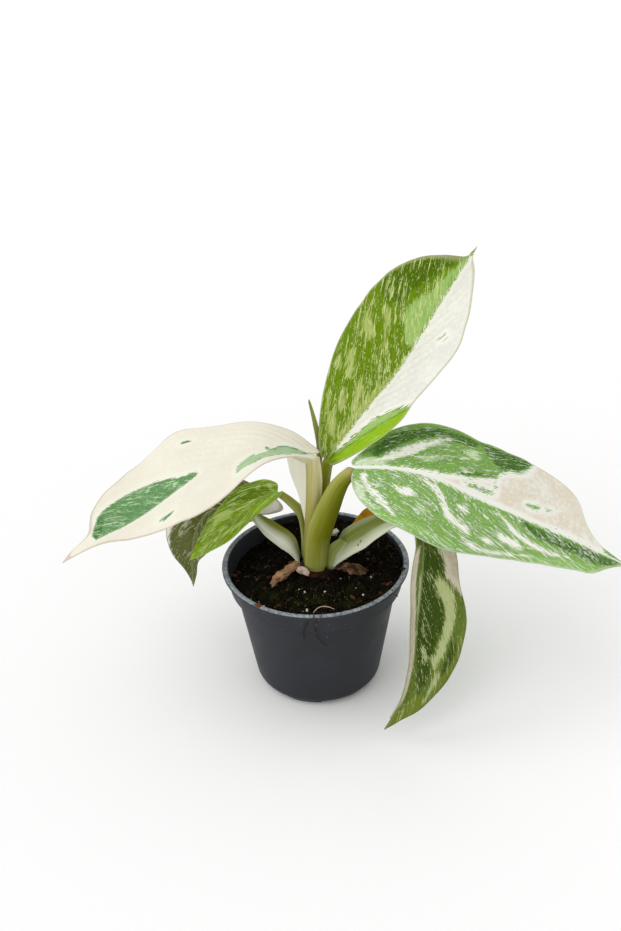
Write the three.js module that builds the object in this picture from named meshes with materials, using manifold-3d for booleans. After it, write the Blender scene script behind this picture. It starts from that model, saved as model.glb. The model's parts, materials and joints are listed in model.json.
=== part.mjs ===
// A young jose buono philodendron: six variegated leaves on a short crown, in a small nursery pot.
// Millimetres, +Z up. The origin is on the floor under the middle of the pot, and the front is -Y.
import * as THREE from "three";
import { mergeVertices } from "three/addons/utils/BufferGeometryUtils.js";
import Module from "manifold-3d";

const wasm = await Module();
wasm.setup();

// Pot
const RIM_RADIUS = 35;
const POT_HEIGHT = 51;
const LIP_DEPTH = 1.5;
const LIP_WIDTH = 2.1;
const COLLAR_BOTTOM = 42;
const COLLAR_RADIUS = 32.3;
const WALL_TOP_RADIUS = 30.3;
const WALL_BOTTOM_RADIUS = 24;
const WALL_BOTTOM = 4.5;
const FOOT_RADIUS = 22.2;
const WALL = 1;
const FLOOR_TOP = 2.7;
const FLOOR_UNDERSIDE = 1.2;
const PAD_RADIUS = 6;
const FOOT_RING = { inner: 17.6, outer: 21.2, arcs: 6, spread: 0.54, turn: 0.01 };
const DRAIN_HOLES = { count: 6, circle: 12, radius: 2.2 };
const POT_SEGMENTS = 40;

// Potting mix and crown
const CLEARANCE = 0.3;
const MIX_LEVEL = 47.9;
const CROWN = { x: 0.4, y: 0.6, radius: 7.6, bottom: 36, top: 48.9 };
const MIX_RINGS = 7;

// Leaves
const BLADE_THICKNESS = 0.8;
const BLADE_ROWS = 17;
const BLADE_COLUMNS = 4;
const STALK_SIDES = 10;
const STALK_RINGS = 11;
const RIB_SIDES = 6;
const RIB_RINGS = 10;
const VEIN_SWEEP = 1.6;

// Each leaf has a stalk and a blade. The stalk runs through the points of `stalk`, its hollow side facing
// `stalkFace`, with half widths to its left and right, a depth, and a hollow that is 1 where it is round
// and below 0 where it is a channel. The blade's midrib runs through `midrib`, its upper side facing `face`.
// `fold` lifts the two halves in degrees, `curl` adds degrees per millimetre out from the midrib, and the
// outlines are millimetres along the flat midrib and out from it. Lists of widths, faces and folds are
// spread evenly from the foot to the tip.
const LEAVES = {
  leaf_upright: {
    colour: "#8fae3f",
    stalk: [
      [2.6, 1.2, 49.3], [2.6, 1.7, 54], [2.6, 3.2, 61], [3, 4.6, 70], [4, 5.4, 80], [5.3, 6, 88], [6.3, 6.2, 91.4],
    ],
    stalkFace: [[-0.3, -0.9, 0], [-0.3, -0.9, 0.2]],
    stalkLeft: [2.1, 2.1, 2.2, 2], stalkRight: [2.1, 2.1, 2.2, 2], stalkDepth: [2.1, 2.1, 2.1, 2],
    stalkHollow: [0.6, 0.4, 0.6, 0.9],
    midrib: [[6, 6.2, 91.5], [19, 12, 107], [33, 18.5, 121.5], [46.5, 28, 139], [56, 36, 150.5], [62.5, 43.5, 156.5]],
    face: [[-0.24, -0.75, 0.67]],
    fold: { left: [30], right: [37] }, curl: { left: -0.3, right: -0.3 }, wave: [0.6, 3, 0.5],
    outlineLeft: [
      [0, 0], [-0.5, 3.5], [7, 9.6], [20, 17], [35, 23.4], [52, 24.7], [67, 22.5], [78, 16.2], [84, 8.8], [88.5, 1.8],
      [92, 0.6], [95, 0],
    ],
    outlineRight: [
      [0, 0], [-0.9, 3.9], [7, 9.7], [18, 15.6], [28, 18.2], [38, 17], [47, 17.9], [57, 19.8], [66, 17.4], [75, 12.7],
      [84, 6.4], [90, 1.2], [95, 0],
    ],
  },
  leaf_left: {
    colour: "#efe9cf",
    stalk: [[-2.1, 0.3, 49.2], [-1.2, 0.2, 60], [-0.5, 0, 70], [0.3, -0.1, 80], [0.6, 0, 89], [0.3, 0, 95.6]],
    stalkFace: [[0.5, 0.85, 0], [0.6, 0.8, 0]],
    stalkLeft: [2.1, 2.3, 2.6, 3, 3.6, 3.2], stalkRight: [2.1, 2.4, 3.4, 6.5, 11, 14],
    stalkDepth: [2.1, 2.3, 2.5, 2.8, 3, 2], stalkHollow: [0.9, 0.8, 0.6, 0.3, 0, -0.2],
    midrib: [
      [-0.5, 0, 97.3], [-9, -1, 101.8], [-21.5, -3, 102.6], [-41, -6, 93.4], [-62.3, -10, 79.5], [-79, -13.5, 72.3],
      [-91, -16, 65],
    ],
    face: [[0, -0.1, 1]],
    fold: { left: [10], right: [10] }, curl: { left: -0.2, right: -0.2 }, wave: [1.2, 3, 4.4],
    outlineLeft: [
      [0, 0], [-3, 2.8], [3.1, 5.6], [11.8, 9.8], [20.7, 15.4], [30, 18.8], [40, 21.2], [48.5, 22.6], [57, 19.5],
      [65.6, 14.8], [75.4, 10.1], [84, 5.5], [91.4, 3.1], [98, 1.2], [103, 0],
    ],
    outlineRight: [
      [0, 0], [-3.6, 3], [3.8, 7.1], [16.4, 11.2], [26.4, 16.2], [36, 20.9], [44, 24.8], [52, 25.8], [61, 27.3],
      [68, 26], [75, 22], [82.1, 17.8], [87, 12.4], [89.8, 4.8], [94, 2.8], [99, 1.8], [103, 0],
    ],
  },
  leaf_right: {
    colour: "#9dbf8a",
    stalk: [[0, -3, 49.2], [0.8, -3.2, 60], [2.3, -3.5, 68], [5.4, -4, 77], [9.5, -4.6, 87], [14.8, -5, 93.4]],
    stalkFace: [[0, 1, 0], [-0.4, 0.9, 0.2]],
    stalkLeft: [4, 4.4, 5, 4.6, 3.9, 2.8], stalkRight: [4.1, 4.2, 4.8, 4.8, 4, 2.6],
    stalkDepth: [2, 2.1, 2.2, 2.2, 2.2, 1.8], stalkHollow: [0, 0, 0, 0.2, 0.6, 1],
    midrib: [
      [15, -5, 94.2], [29.5, -7, 94.2], [45, -8.5, 90.2], [61, -10, 81.2], [85, -12, 69.5], [105, -13.5, 58.5],
      [115.5, -14.5, 52.5],
    ],
    face: [[0, -0.5, 1]],
    fold: { left: [-6], right: [-6] }, curl: { left: 0, right: 0 }, wave: [0.8, 4, 1],
    outlineLeft: [
      [0, 0], [-1, 3], [5, 10], [12, 17.6], [21, 22.8], [31, 23.4], [41, 24.3], [48, 25.7], [58, 24.9], [70, 24.8],
      [79, 21.9], [85, 17.4], [89.5, 9.5], [95, 3.9], [102, 1.5], [111, 0],
    ],
    outlineRight: [
      [0, 0], [-0.8, 5], [1.8, 11.8], [8, 18], [17, 22.1], [28, 24.6], [40, 23.9], [52, 20.8], [64, 17.4], [78, 14.1],
      [89, 11], [96, 9], [101.5, 4.6], [106, 1.6], [111, 0],
    ],
  },
  leaf_hanging: {
    colour: "#5f7d33",
    stalk: [
      [6.6, -0.3, 49.2], [7.2, -0.9, 53], [11, -4, 60.5], [16.5, -7.5, 67], [22.5, -11.5, 73.5], [29, -15.2, 78.6],
      [36.3, -18.8, 79.2],
    ],
    stalkFace: [[-1, 0, 0.1], [-0.4, -0.45, 0.8], [-0.3, -0.4, 0.9]],
    stalkLeft: [3, 6.5, 5.6, 3.8, 2], stalkRight: [3.4, 6, 6.4, 4.4, 2],
    stalkDepth: [1.3, 1.8, 2, 2, 1.9], stalkHollow: [0, -0.2, -0.1, 0.3, 0.8],
    midrib: [
      [37, -19.4, 78.8], [38, -22.8, 71.5], [37, -28.5, 58.5], [35, -34.5, 43.5], [33.5, -39, 31.5], [30, -42, 18],
      [23, -44.5, 6.2],
    ],
    face: [[0.75, -0.66, 0.2]],
    fold: { left: [25], right: [28] }, curl: { left: -0.3, right: -0.2 }, wave: [0.6, 3, 0],
    outlineLeft: [
      [0, 0], [-1.5, 5], [4, 11], [13, 14.7], [23, 17.1], [33, 20.6], [42, 22.3], [51, 20.5], [60, 16], [67, 10.2],
      [73, 4.8], [77, 2.2], [80, 0],
    ],
    outlineRight: [
      [0, 0], [0.5, 3.2], [6, 8.5], [14, 14.2], [25, 15], [35, 10.5], [45, 7.4], [55, 7.2], [64, 5.4], [71, 2.2],
      [76, 0.8], [80, 0],
    ],
  },
  leaf_small: {
    colour: "#7ea63a",
    stalk: [[-3.7, 5.2, 49.2], [-3.6, 6.2, 60], [-4.6, 7.2, 67.5], [-8.7, 9.6, 71.6], [-12.8, 11.8, 74]],
    stalkFace: [[1, -0.5, 0], [0, -0.3, 1]],
    stalkLeft: [1.5, 1.5, 1.3], stalkRight: [1.5, 1.5, 1.3], stalkDepth: [1.5, 1.5, 1.3], stalkHollow: [0.6, 0.4, 0.9],
    midrib: [[-13.2, 12, 74.6], [-22, 9.5, 72], [-29, 6, 67.5], [-36, 2, 64], [-42.5, -2, 59.5], [-46.3, -4, 56.4]],
    face: [[-0.1, -0.25, 1]],
    fold: { left: [15], right: [15] }, curl: { left: -0.5, right: -0.5 }, wave: [0.3, 3, 0],
    outlineLeft: [[0, 0], [-1, 2.5], [5, 6], [13, 7], [21, 7.5], [29, 7.5], [35, 5], [39.5, 2], [42, 0]],
    outlineRight: [[0, 0], [-1, 3.5], [3.5, 7.5], [10, 9], [17, 8.8], [24, 7], [31, 4.6], [37, 2.2], [42, 0]],
  },
  leaf_back: {
    colour: "#4e5f34",
    stalk: [[-5.9, 0.8, 49.2], [-6.3, 1.2, 52.5], [-9.8, 4.2, 57.5], [-15.5, 8.8, 59.5], [-20, 13.5, 60.8], [-23, 17, 61]],
    stalkFace: [[1, 0, 0.1], [-0.2, -0.6, 0.75], [0, -0.3, 0.9]],
    stalkLeft: [2.8, 4.4, 3.6, 1.8], stalkRight: [2.1, 4.2, 3.6, 1.8],
    stalkDepth: [1.2, 1.6, 1.8, 1.6], stalkHollow: [0, -0.2, 0, 0.8],
    midrib: [
      [-23.3, 17.3, 61.4], [-29.7, 21, 61.6], [-36, 23, 61.1], [-41.8, 24, 57.5], [-46.1, 24, 49.7], [-48.3, 22.5, 39],
      [-48.6, 20.5, 26.2],
    ],
    face: [[0, -0.1, 1], [-0.4, -0.6, 0.65], [-0.4, -0.85, 0.3]],
    fold: { left: [14], right: [8] }, curl: { left: 0, right: 0 }, wave: [0.3, 3, 1],
    outlineLeft: [[0, 0], [-3, 4], [0, 8.5], [8, 11], [18, 12], [28, 11.5], [36, 8], [42, 3.4], [48, 2], [54, 0]],
    outlineRight: [
      [0, 0], [-6, 2.5], [-9.5, 6.5], [-6, 10], [3, 12.6], [14, 13.6], [25, 13.2], [34, 12.5], [41, 9], [46, 4],
      [50, 1.4], [54, 0],
    ],
  },
};

// Rolled new leaf and the dry pieces round the crown: a centre line with widths, as for a stalk
const NEW_LEAF = {
  colour: "#7d8a3f",
  points: [
    [-1, 4.8, 49.2], [-0.6, 7, 60], [0.6, 8.3, 72], [2, 9.6, 84], [3, 11, 94], [1.6, 10.6, 104], [-0.4, 9.6, 114.3],
  ],
  face: [[0.6, -0.8, 0]],
  left: [1.4, 1.3, 1.3, 1.2, 0.4], right: [1.4, 1.3, 1.3, 1.2, 0.4], depth: [1.4, 1.3, 1.3, 1.1, 0.4], hollow: [1],
};
const WITHERED_LEAF = {
  colour: "#cf9a35",
  points: [[9.5, 6.2, 48.6], [12.5, 6.8, 55], [17.3, 7.2, 61.3], [22, 7.4, 66.8], [26.2, 7, 68.3]],
  face: [[-0.3, -0.9, 0.3]],
  left: [1.6, 2, 2.8, 3, 1], right: [1.6, 2.6, 3.2, 3.2, 1], depth: [1, 1.6, 1.8, 1.6, 0.8], hollow: [-0.4],
};
const BRACTS = {
  bract_left: {
    colour: "#9c6a4c", length: 13, width: 3.4, rise: 1.2, at: [-11.6, -6.6, 50.2], turn: [0.35, -0.25, 0.72],
  },
  bract_right: {
    colour: "#7d4a34", length: 10.5, width: 4.4, rise: 0.9, at: [13.3, -5.3, 49.8], turn: [0.3, 0.05, -0.28],
  },
  bract_pale: {
    colour: "#d9bfb4", length: 5, width: 2.6, rise: 0.5, at: [-4.7, -5.2, 50.2], turn: [0.6, 0.2, -0.5],
  },
};

// Closed solid from points and triangles, its faces pointing out
function solid(points, faces) {
  const mesh = { numProp: 3, vertProperties: new Float32Array(points.flatMap((p) => [p.x, p.y, p.z])) };
  let volume = 0;
  for (const [a, b, c] of faces) {
    volume += points[a].dot(points[b].clone().cross(points[c]));
  }
  const outward = volume < 0 ? faces.map(([a, b, c]) => [a, c, b]) : faces;
  mesh.triVerts = new Uint32Array(outward.flat());
  return new wasm.Manifold(new wasm.Mesh(mesh));
}

// Closed solid from a three.js geometry
function solidFrom(geometry) {
  geometry.deleteAttribute("normal");
  geometry.deleteAttribute("uv");
  const merged = mergeVertices(geometry, 1e-4);
  const position = merged.attributes.position;
  const vertex = (_, i) => new THREE.Vector3().fromBufferAttribute(position, i);
  const points = Array.from({ length: position.count }, vertex);
  const faces = [];
  for (let i = 0; i < merged.index.count; i += 3) {
    const face = [0, 1, 2].map((k) => merged.index.getX(i + k));
    if (new Set(face).size === 3) {
      faces.push(face);
    }
  }
  return solid(points, faces);
}

// Named mesh of a solid
function piece(name, body, colour, roughness) {
  const { vertProperties, triVerts } = body.getMesh();
  const geometry = new THREE.BufferGeometry();
  geometry.setAttribute("position", new THREE.BufferAttribute(new Float32Array(vertProperties), 3));
  geometry.setIndex(new THREE.BufferAttribute(new Uint32Array(triVerts), 1));
  geometry.computeVertexNormals();
  const mesh = new THREE.Mesh(geometry, new THREE.MeshStandardMaterial({ color: colour, roughness, metalness: 0 }));
  mesh.name = name;
  return mesh;
}

// Value of an evenly spread list at t from 0 to 1
function along(values, t) {
  const place = THREE.MathUtils.clamp(t, 0, 1) * (values.length - 1);
  const low = Math.min(Math.floor(place), Math.max(values.length - 2, 0));
  const high = Math.min(low + 1, values.length - 1);
  return THREE.MathUtils.lerp(values[low], values[high], place - low);
}

// Direction of an evenly spread list at t
function direction(list, t) {
  return new THREE.Vector3(...[0, 1, 2].map((axis) => along(list.map((item) => item[axis]), t))).normalize();
}

// Smooth curve through points given as lists
function curveThrough(points) {
  return new THREE.CatmullRomCurve3(points.map(([x, y, z = 0]) => new THREE.Vector3(x, y, z)), false, "catmullrom");
}

// Where a curve is at t, the way it runs, the way its face looks, and the way across, to its right
function frameAt(curve, faces, t) {
  const inside = THREE.MathUtils.clamp(t, 0, 1);
  const travel = curve.getTangentAt(inside);
  const point = curve.getPointAt(inside).addScaledVector(travel, (t - inside) * curve.getLength());
  const face = direction(faces, inside);
  face.addScaledVector(travel, -face.dot(travel)).normalize();
  return { point, travel, face, across: travel.clone().cross(face) };
}

// Skin over rings of equally many points, closed with a point at each end
function skin(rings) {
  const sides = rings[0].length;
  const points = rings.flat();
  const faces = [];
  for (let k = 0; k + 1 < rings.length; k += 1) {
    for (let i = 0; i < sides; i += 1) {
      const j = (i + 1) % sides;
      faces.push([k * sides + i, k * sides + j, (k + 1) * sides + j]);
      faces.push([k * sides + i, (k + 1) * sides + j, (k + 1) * sides + i]);
    }
  }
  for (const [k, first] of [[0, true], [rings.length - 1, false]]) {
    const middle = new THREE.Vector3();
    rings[k].forEach((p) => middle.addScaledVector(p, 1 / sides));
    points.push(middle);
    for (let i = 0; i < sides; i += 1) {
      const j = (i + 1) % sides;
      const edge = first ? [k * sides + j, k * sides + i] : [k * sides + i, k * sides + j];
      faces.push([points.length - 1, ...edge]);
    }
  }
  return solid(points, faces);
}

// Stalk: half an ellipse on its outer side, and a flatter, round or hollow inner side
function stalk({ points, face, left, right, depth, hollow }, rings = STALK_RINGS, roundEnd = false) {
  const curve = curveThrough(points);
  const sections = [];
  for (let k = 0; k <= rings; k += 1) {
    const t = k / rings;
    const at = frameAt(curve, face, t);
    const size = roundEnd && k === rings ? 0.55 : 1;
    sections.push(Array.from({ length: STALK_SIDES }, (_, i) => {
      const angle = (i / STALK_SIDES) * 2 * Math.PI;
      const side = Math.cos(angle) * along(Math.cos(angle) > 0 ? right : left, t) * size;
      const lift = Math.sin(angle) * along(depth, t) * (Math.sin(angle) > 0 ? along(hollow, t) : 1) * size;
      return at.point.clone().addScaledVector(at.across, side).addScaledVector(at.face, lift);
    }));
  }
  return skin(sections);
}

// Point of a blade x along its flat midrib and y out from it, minus to the left, raised off its middle surface
function bladePoint(leaf, curve, x, y, raise) {
  const length = curve.getLength();
  const at = frameAt(curve, leaf.face, x / length);
  const side = y < 0 ? "left" : "right";
  const fold = along(leaf.fold[side], x / length);
  const angle = THREE.MathUtils.degToRad(fold + leaf.curl[side] * Math.abs(y));
  const [height, cycles, phase] = leaf.wave;
  const widest = Math.max(...leaf.outlineLeft.map((p) => p[1]));
  const wave = height * (y / widest) ** 2 * Math.sin((cycles * 2 * Math.PI * x) / length + phase + (y < 0 ? 0 : 1.3));
  const out = Math.sign(y);
  const up = at.face.clone().multiplyScalar(Math.cos(out === 0 ? 0 : angle));
  up.addScaledVector(at.across, -out * Math.sin(angle));
  return at.point
    .addScaledVector(at.across, y * Math.cos(angle))
    .addScaledVector(at.face, Math.abs(y) * Math.sin(angle))
    .addScaledVector(up, wave + raise);
}

// Blade: rows follow the veins, which leave the midrib and sweep forward to the margin
function blade(leaf) {
  const curve = curveThrough(leaf.midrib);
  const outlines = [curveThrough(leaf.outlineLeft), curveThrough(leaf.outlineRight)];
  const width = 2 * BLADE_COLUMNS + 1;
  const points = [];
  for (const raise of [BLADE_THICKNESS / 2, -BLADE_THICKNESS / 2]) {
    points.push(bladePoint(leaf, curve, 0, 0, raise));
    for (let row = 1; row < BLADE_ROWS; row += 1) {
      const start = curve.getLength() * (row / BLADE_ROWS) ** 1.25;
      for (let column = -BLADE_COLUMNS; column <= BLADE_COLUMNS; column += 1) {
        const edge = outlines[column < 0 ? 0 : 1].getPoint(row / BLADE_ROWS);
        const out = Math.abs(column) / BLADE_COLUMNS;
        const x = start + (edge.x - start) * out ** VEIN_SWEEP;
        points.push(bladePoint(leaf, curve, x, Math.sign(column) * Math.abs(edge.y) * out, raise));
      }
    }
    points.push(bladePoint(leaf, curve, curve.getLength(), 0, raise));
  }
  const sheet = points.length / 2;
  const index = (row, column) => (row === 0 ? 0 : row === BLADE_ROWS ? sheet - 1 : 1 + (row - 1) * width + column);
  const faces = [];
  const addBoth = (a, b, c) => {
    if (new Set([a, b, c]).size === 3) {
      faces.push([a, b, c], [a + sheet, c + sheet, b + sheet]);
    }
  };
  for (let row = 0; row < BLADE_ROWS; row += 1) {
    for (let column = 0; column + 1 < width; column += 1) {
      const corners = [index(row, column), index(row, column + 1), index(row + 1, column + 1), index(row + 1, column)];
      addBoth(corners[0], corners[1], corners[2]);
      addBoth(corners[0], corners[2], corners[3]);
    }
    for (const column of [0, width - 1]) {
      const [a, b] = column === 0 ? [index(row + 1, 0), index(row, 0)] : [index(row, column), index(row + 1, column)];
      faces.push([b, a, a + sheet], [b, a + sheet, b + sheet]);
    }
  }
  return solid(points, faces);
}

// Rib under the blade, thinning to its tip
function rib(leaf, radius) {
  const curve = curveThrough(leaf.midrib);
  const rings = [];
  for (let k = 0; k <= RIB_RINGS; k += 1) {
    const t = 0.94 * (k / RIB_RINGS);
    const at = frameAt(curve, leaf.face, t);
    const size = THREE.MathUtils.lerp(radius, 0.45, t);
    rings.push(Array.from({ length: RIB_SIDES }, (_, i) => {
      const angle = ((i + 0.5) / RIB_SIDES) * 2 * Math.PI;
      return at.point.clone()
        .addScaledVector(at.across, size * Math.cos(angle))
        .addScaledVector(at.face, size * (Math.sin(angle) - 0.7));
    }));
  }
  return skin(rings);
}

function leafBody(leaf) {
  const foot = stalk({
    points: leaf.stalk, face: leaf.stalkFace, left: leaf.stalkLeft, right: leaf.stalkRight,
    depth: leaf.stalkDepth, hollow: leaf.stalkHollow,
  }, STALK_RINGS, true);
  return foot.add(rib(leaf, 0.8 * leaf.stalkDepth.at(-1))).add(blade(leaf));
}

// Pot wall at a height: the outside radius
function wallRadius(z) {
  const share = (z - WALL_BOTTOM) / (COLLAR_BOTTOM - 1 - WALL_BOTTOM);
  return THREE.MathUtils.lerp(WALL_BOTTOM_RADIUS, WALL_TOP_RADIUS, share);
}

function potBody() {
  const lipBottom = POT_HEIGHT - LIP_DEPTH;
  const lipInner = RIM_RADIUS - LIP_WIDTH;
  const profile = [
    [0, 0], [PAD_RADIUS, 0], [PAD_RADIUS + 0.6, FLOOR_UNDERSIDE], [FOOT_RADIUS - 0.8, FLOOR_UNDERSIDE],
    [FOOT_RADIUS, FLOOR_UNDERSIDE + 0.3], [WALL_BOTTOM_RADIUS - 0.5, WALL_BOTTOM - 1.4],
    [WALL_BOTTOM_RADIUS, WALL_BOTTOM], [WALL_TOP_RADIUS, COLLAR_BOTTOM - 1], [COLLAR_RADIUS, COLLAR_BOTTOM],
    [RIM_RADIUS - 1.3, lipBottom - 0.3], [RIM_RADIUS - 0.3, lipBottom], [RIM_RADIUS, lipBottom + 0.4],
    [RIM_RADIUS, POT_HEIGHT - 0.5], [RIM_RADIUS - 0.5, POT_HEIGHT], [lipInner + 0.5, POT_HEIGHT],
    [lipInner, POT_HEIGHT - 0.4], [lipInner - 0.4, lipBottom - 0.6], [COLLAR_RADIUS - WALL, COLLAR_BOTTOM + 0.6],
    [WALL_TOP_RADIUS - WALL, COLLAR_BOTTOM - 0.6], [WALL_BOTTOM_RADIUS - WALL, WALL_BOTTOM + 0.2],
    [FOOT_RADIUS - 1, FLOOR_TOP], [0, FLOOR_TOP],
  ].map(([r, z]) => new THREE.Vector2(r, z));
  let body = solidFrom(new THREE.LatheGeometry(profile, POT_SEGMENTS).rotateX(Math.PI / 2));
  for (let k = 0; k < FOOT_RING.arcs; k += 1) {
    const start = FOOT_RING.turn + (k * 2 * Math.PI) / FOOT_RING.arcs;
    const end = start + FOOT_RING.spread;
    const shape = new THREE.Shape();
    shape.absarc(0, 0, FOOT_RING.outer, start, end, false);
    shape.absarc(0, 0, FOOT_RING.inner, end, start, true);
    shape.closePath();
    const height = FLOOR_UNDERSIDE + 0.4;
    const arc = new THREE.ExtrudeGeometry(shape, { depth: height, bevelEnabled: false, curveSegments: 8 });
    body = body.add(solidFrom(arc));
  }
  for (let k = 0; k < DRAIN_HOLES.count; k += 1) {
    const angle = ((k + 0.5) * 2 * Math.PI) / DRAIN_HOLES.count;
    const hole = new THREE.CylinderGeometry(DRAIN_HOLES.radius, DRAIN_HOLES.radius, 2 * FLOOR_TOP, 12);
    hole.rotateX(Math.PI / 2);
    hole.translate(DRAIN_HOLES.circle * Math.cos(angle), DRAIN_HOLES.circle * Math.sin(angle), FLOOR_TOP / 2);
    body = body.subtract(solidFrom(hole));
  }
  return body;
}

// Height of the mix: small mounds everywhere, and a dip along the left back, where the pot's inside shows
function mixHeight(x, y) {
  const mounds = 0.5 * Math.sin(0.62 * x + 1) * Math.cos(0.55 * y - 0.4) + 0.35 * Math.sin(1.15 * x - 0.8 * y + 2);
  const radius = Math.hypot(x, y);
  const away = Math.abs(Math.atan2(y, -x) - 0.45);
  const dip = 5 * THREE.MathUtils.smoothstep(radius, 14, 30) * (1 - THREE.MathUtils.smoothstep(away, 0.25, 0.95));
  const mound = 1.2 * THREE.MathUtils.smoothstep(radius, 16, 30) * (x > 0 ? 1 : 0.4);
  return MIX_LEVEL + mounds - dip + mound;
}

function mixBody() {
  const hole = CROWN.radius + CLEARANCE;
  const rings = [];
  const angles = Array.from({ length: POT_SEGMENTS }, (_, i) => (i / POT_SEGMENTS) * 2 * Math.PI);
  const ring = (place) => rings.push(angles.map(place));
  const at = (angle, radius, z) => new THREE.Vector3(radius * Math.cos(angle), radius * Math.sin(angle), z);
  const round = (radius, z) => (angle) => at(angle, radius, z);
  const inHole = (z) => (angle) => at(angle, hole, z).add(new THREE.Vector3(CROWN.x, CROWN.y, 0));
  const inside = (z) => wallRadius(z) - WALL - CLEARANCE - 0.05;
  ring(round(FOOT_RADIUS - 2.2, FLOOR_TOP + CLEARANCE));
  ring(round(inside(WALL_BOTTOM + 0.6), WALL_BOTTOM + 0.6));
  ring(round(inside(COLLAR_BOTTOM - 1), COLLAR_BOTTOM - 1));
  for (let k = MIX_RINGS; k >= 0; k -= 1) {
    ring((angle) => {
      const outer = round(COLLAR_RADIUS - WALL - CLEARANCE - 0.2, 0)(angle);
      const point = inHole(0)(angle).lerp(outer, k / MIX_RINGS);
      point.z = mixHeight(point.x, point.y);
      return point;
    });
  }
  ring(inHole(CROWN.bottom - CLEARANCE));
  return skin(rings);
}

function crownBody() {
  const { radius, bottom, top } = CROWN;
  const profile = [
    [0, bottom], [radius - 2.4, bottom], [radius, bottom + 3.5], [radius, top - 2], [radius - 0.4, top - 0.7],
    [radius - 1.3, top], [0, top],
  ].map(([r, z]) => new THREE.Vector2(r, z));
  return solidFrom(new THREE.LatheGeometry(profile, 20).rotateX(Math.PI / 2).translate(CROWN.x, CROWN.y, 0));
}

// Dry scrap of a sheath: a shallow curled gutter that rises in its middle, along its own X axis
function bractBody({ length, width, rise }) {
  return stalk({
    points: [[-length / 2, 0, 0], [-length / 6, 0.3, rise], [length / 6, -0.3, rise], [length / 2, 0, 0.2]],
    face: [[0, 0, -1]], left: [0.5, width / 2, 0.45 * width, 0.4], right: [0.4, 0.45 * width, width / 2, 0.5],
    depth: [0.5, 0.8, 0.9, 0.5], hollow: [-0.2],
  }, 7);
}

const plant = new THREE.Group();
for (const [name, leaf] of Object.entries(LEAVES)) {
  plant.add(piece(name, leafBody(leaf), leaf.colour, 0.45));
}
plant.add(piece("new_leaf", stalk(NEW_LEAF, 14), NEW_LEAF.colour, 0.5));
plant.add(piece("withered_leaf", stalk(WITHERED_LEAF, 8), WITHERED_LEAF.colour, 0.7));
plant.add(piece("crown", crownBody(), "#6b3b2a", 0.8));

const scraps = new THREE.Group();
for (const [name, bract] of Object.entries(BRACTS)) {
  const scrap = piece(name, bractBody(bract), bract.colour, 0.8);
  scrap.position.set(...bract.at);
  scrap.rotation.set(...bract.turn, "ZYX");
  scraps.add(scrap);
}

const group = new THREE.Group();
group.add(piece("pot", potBody(), "#3c3e43", 0.55));
group.add(piece("potting_mix", mixBody(), "#241d17", 0.95));
group.add(plant, scraps);

export default group;
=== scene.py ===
import json
import math

import bpy
import numpy as np
from bpy.props import FloatProperty, FloatVectorProperty, IntProperty, PointerProperty
from mathutils import Euler, Matrix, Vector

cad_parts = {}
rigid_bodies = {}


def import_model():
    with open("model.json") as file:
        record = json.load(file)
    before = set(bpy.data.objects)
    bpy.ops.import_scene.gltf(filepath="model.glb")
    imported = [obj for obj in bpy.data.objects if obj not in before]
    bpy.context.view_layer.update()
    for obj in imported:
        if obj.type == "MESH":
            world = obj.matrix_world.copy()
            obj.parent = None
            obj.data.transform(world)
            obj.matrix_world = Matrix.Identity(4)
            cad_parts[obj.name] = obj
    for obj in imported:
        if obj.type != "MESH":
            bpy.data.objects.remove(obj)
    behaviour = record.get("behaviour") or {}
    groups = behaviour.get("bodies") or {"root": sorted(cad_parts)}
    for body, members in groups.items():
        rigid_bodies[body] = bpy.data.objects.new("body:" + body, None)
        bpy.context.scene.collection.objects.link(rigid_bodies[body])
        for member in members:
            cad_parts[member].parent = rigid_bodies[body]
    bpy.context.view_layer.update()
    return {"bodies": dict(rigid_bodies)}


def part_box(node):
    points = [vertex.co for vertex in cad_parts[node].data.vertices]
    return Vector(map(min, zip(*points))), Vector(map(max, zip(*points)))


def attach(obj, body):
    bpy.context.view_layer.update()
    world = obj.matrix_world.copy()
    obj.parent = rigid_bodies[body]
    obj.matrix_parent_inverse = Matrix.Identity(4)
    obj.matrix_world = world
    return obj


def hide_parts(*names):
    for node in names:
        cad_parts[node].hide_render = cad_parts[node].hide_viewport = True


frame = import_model()

bl_info = {
    "name": "Potted Philodendron",
    "version": (1, 0, 0),
    "blender": (4, 5, 0),
    "location": "View3D > Sidebar > Plant",
    "description": "Variegated philodendron leaves on a crown in a small nursery pot",
    "category": "Object",
}

MM = 0.001
BODY = next(iter(frame["bodies"]))
POT_LOW, POT_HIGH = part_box("pot")
RIM_RADIUS = (POT_HIGH.x - POT_LOW.x) / 2 / MM
POT_HEIGHT = POT_HIGH.z / MM
FULL_TURN = 2 * math.pi

# Pot, in millimetres
LIP_WIDTH = 2.1
COLLAR_BOTTOM = 42
COLLAR_RADIUS = 32.3
WALL_TOP_RADIUS = 30.3
WALL_BOTTOM_RADIUS = 24
WALL_BOTTOM = 4.5
FOOT_RADIUS = 22.2
FLOOR_TOP = 2.7
FLOOR_UNDERSIDE = 1.2
PAD_RADIUS = 6
FOOT_RING = {"inner": 17.6, "outer": 21.2, "half_height": 0.8, "arcs": 6, "spread": 0.54, "turn": 0.01}
DRAIN_HOLES = {"count": 6, "circle": 12, "radius": 2.2}

# Potting mix and crown. The crown's rings run up to its shoulder over that share of them, and on over a
# domed cap of that height.
GAP = 0.3                 # keeps the mix and the crown off the pot and off each other
MIX_LEVEL = 47.9
CROWN = {"x": 0.4, "y": 0.6, "radius": 7.6, "bottom": 36, "top": 48.9, "cap": 1.4, "shoulder": 0.7}

# Camera: the place in metres and the turn in degrees from which the plant is looked at, and its lens
CAMERA_PLACE = (-0.00059, -0.43087, 0.35143)
CAMERA_PITCH = 59
CAMERA_ROLL = -2
CAMERA_LENS = 54.135
SENSOR_WIDTH = 36

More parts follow.
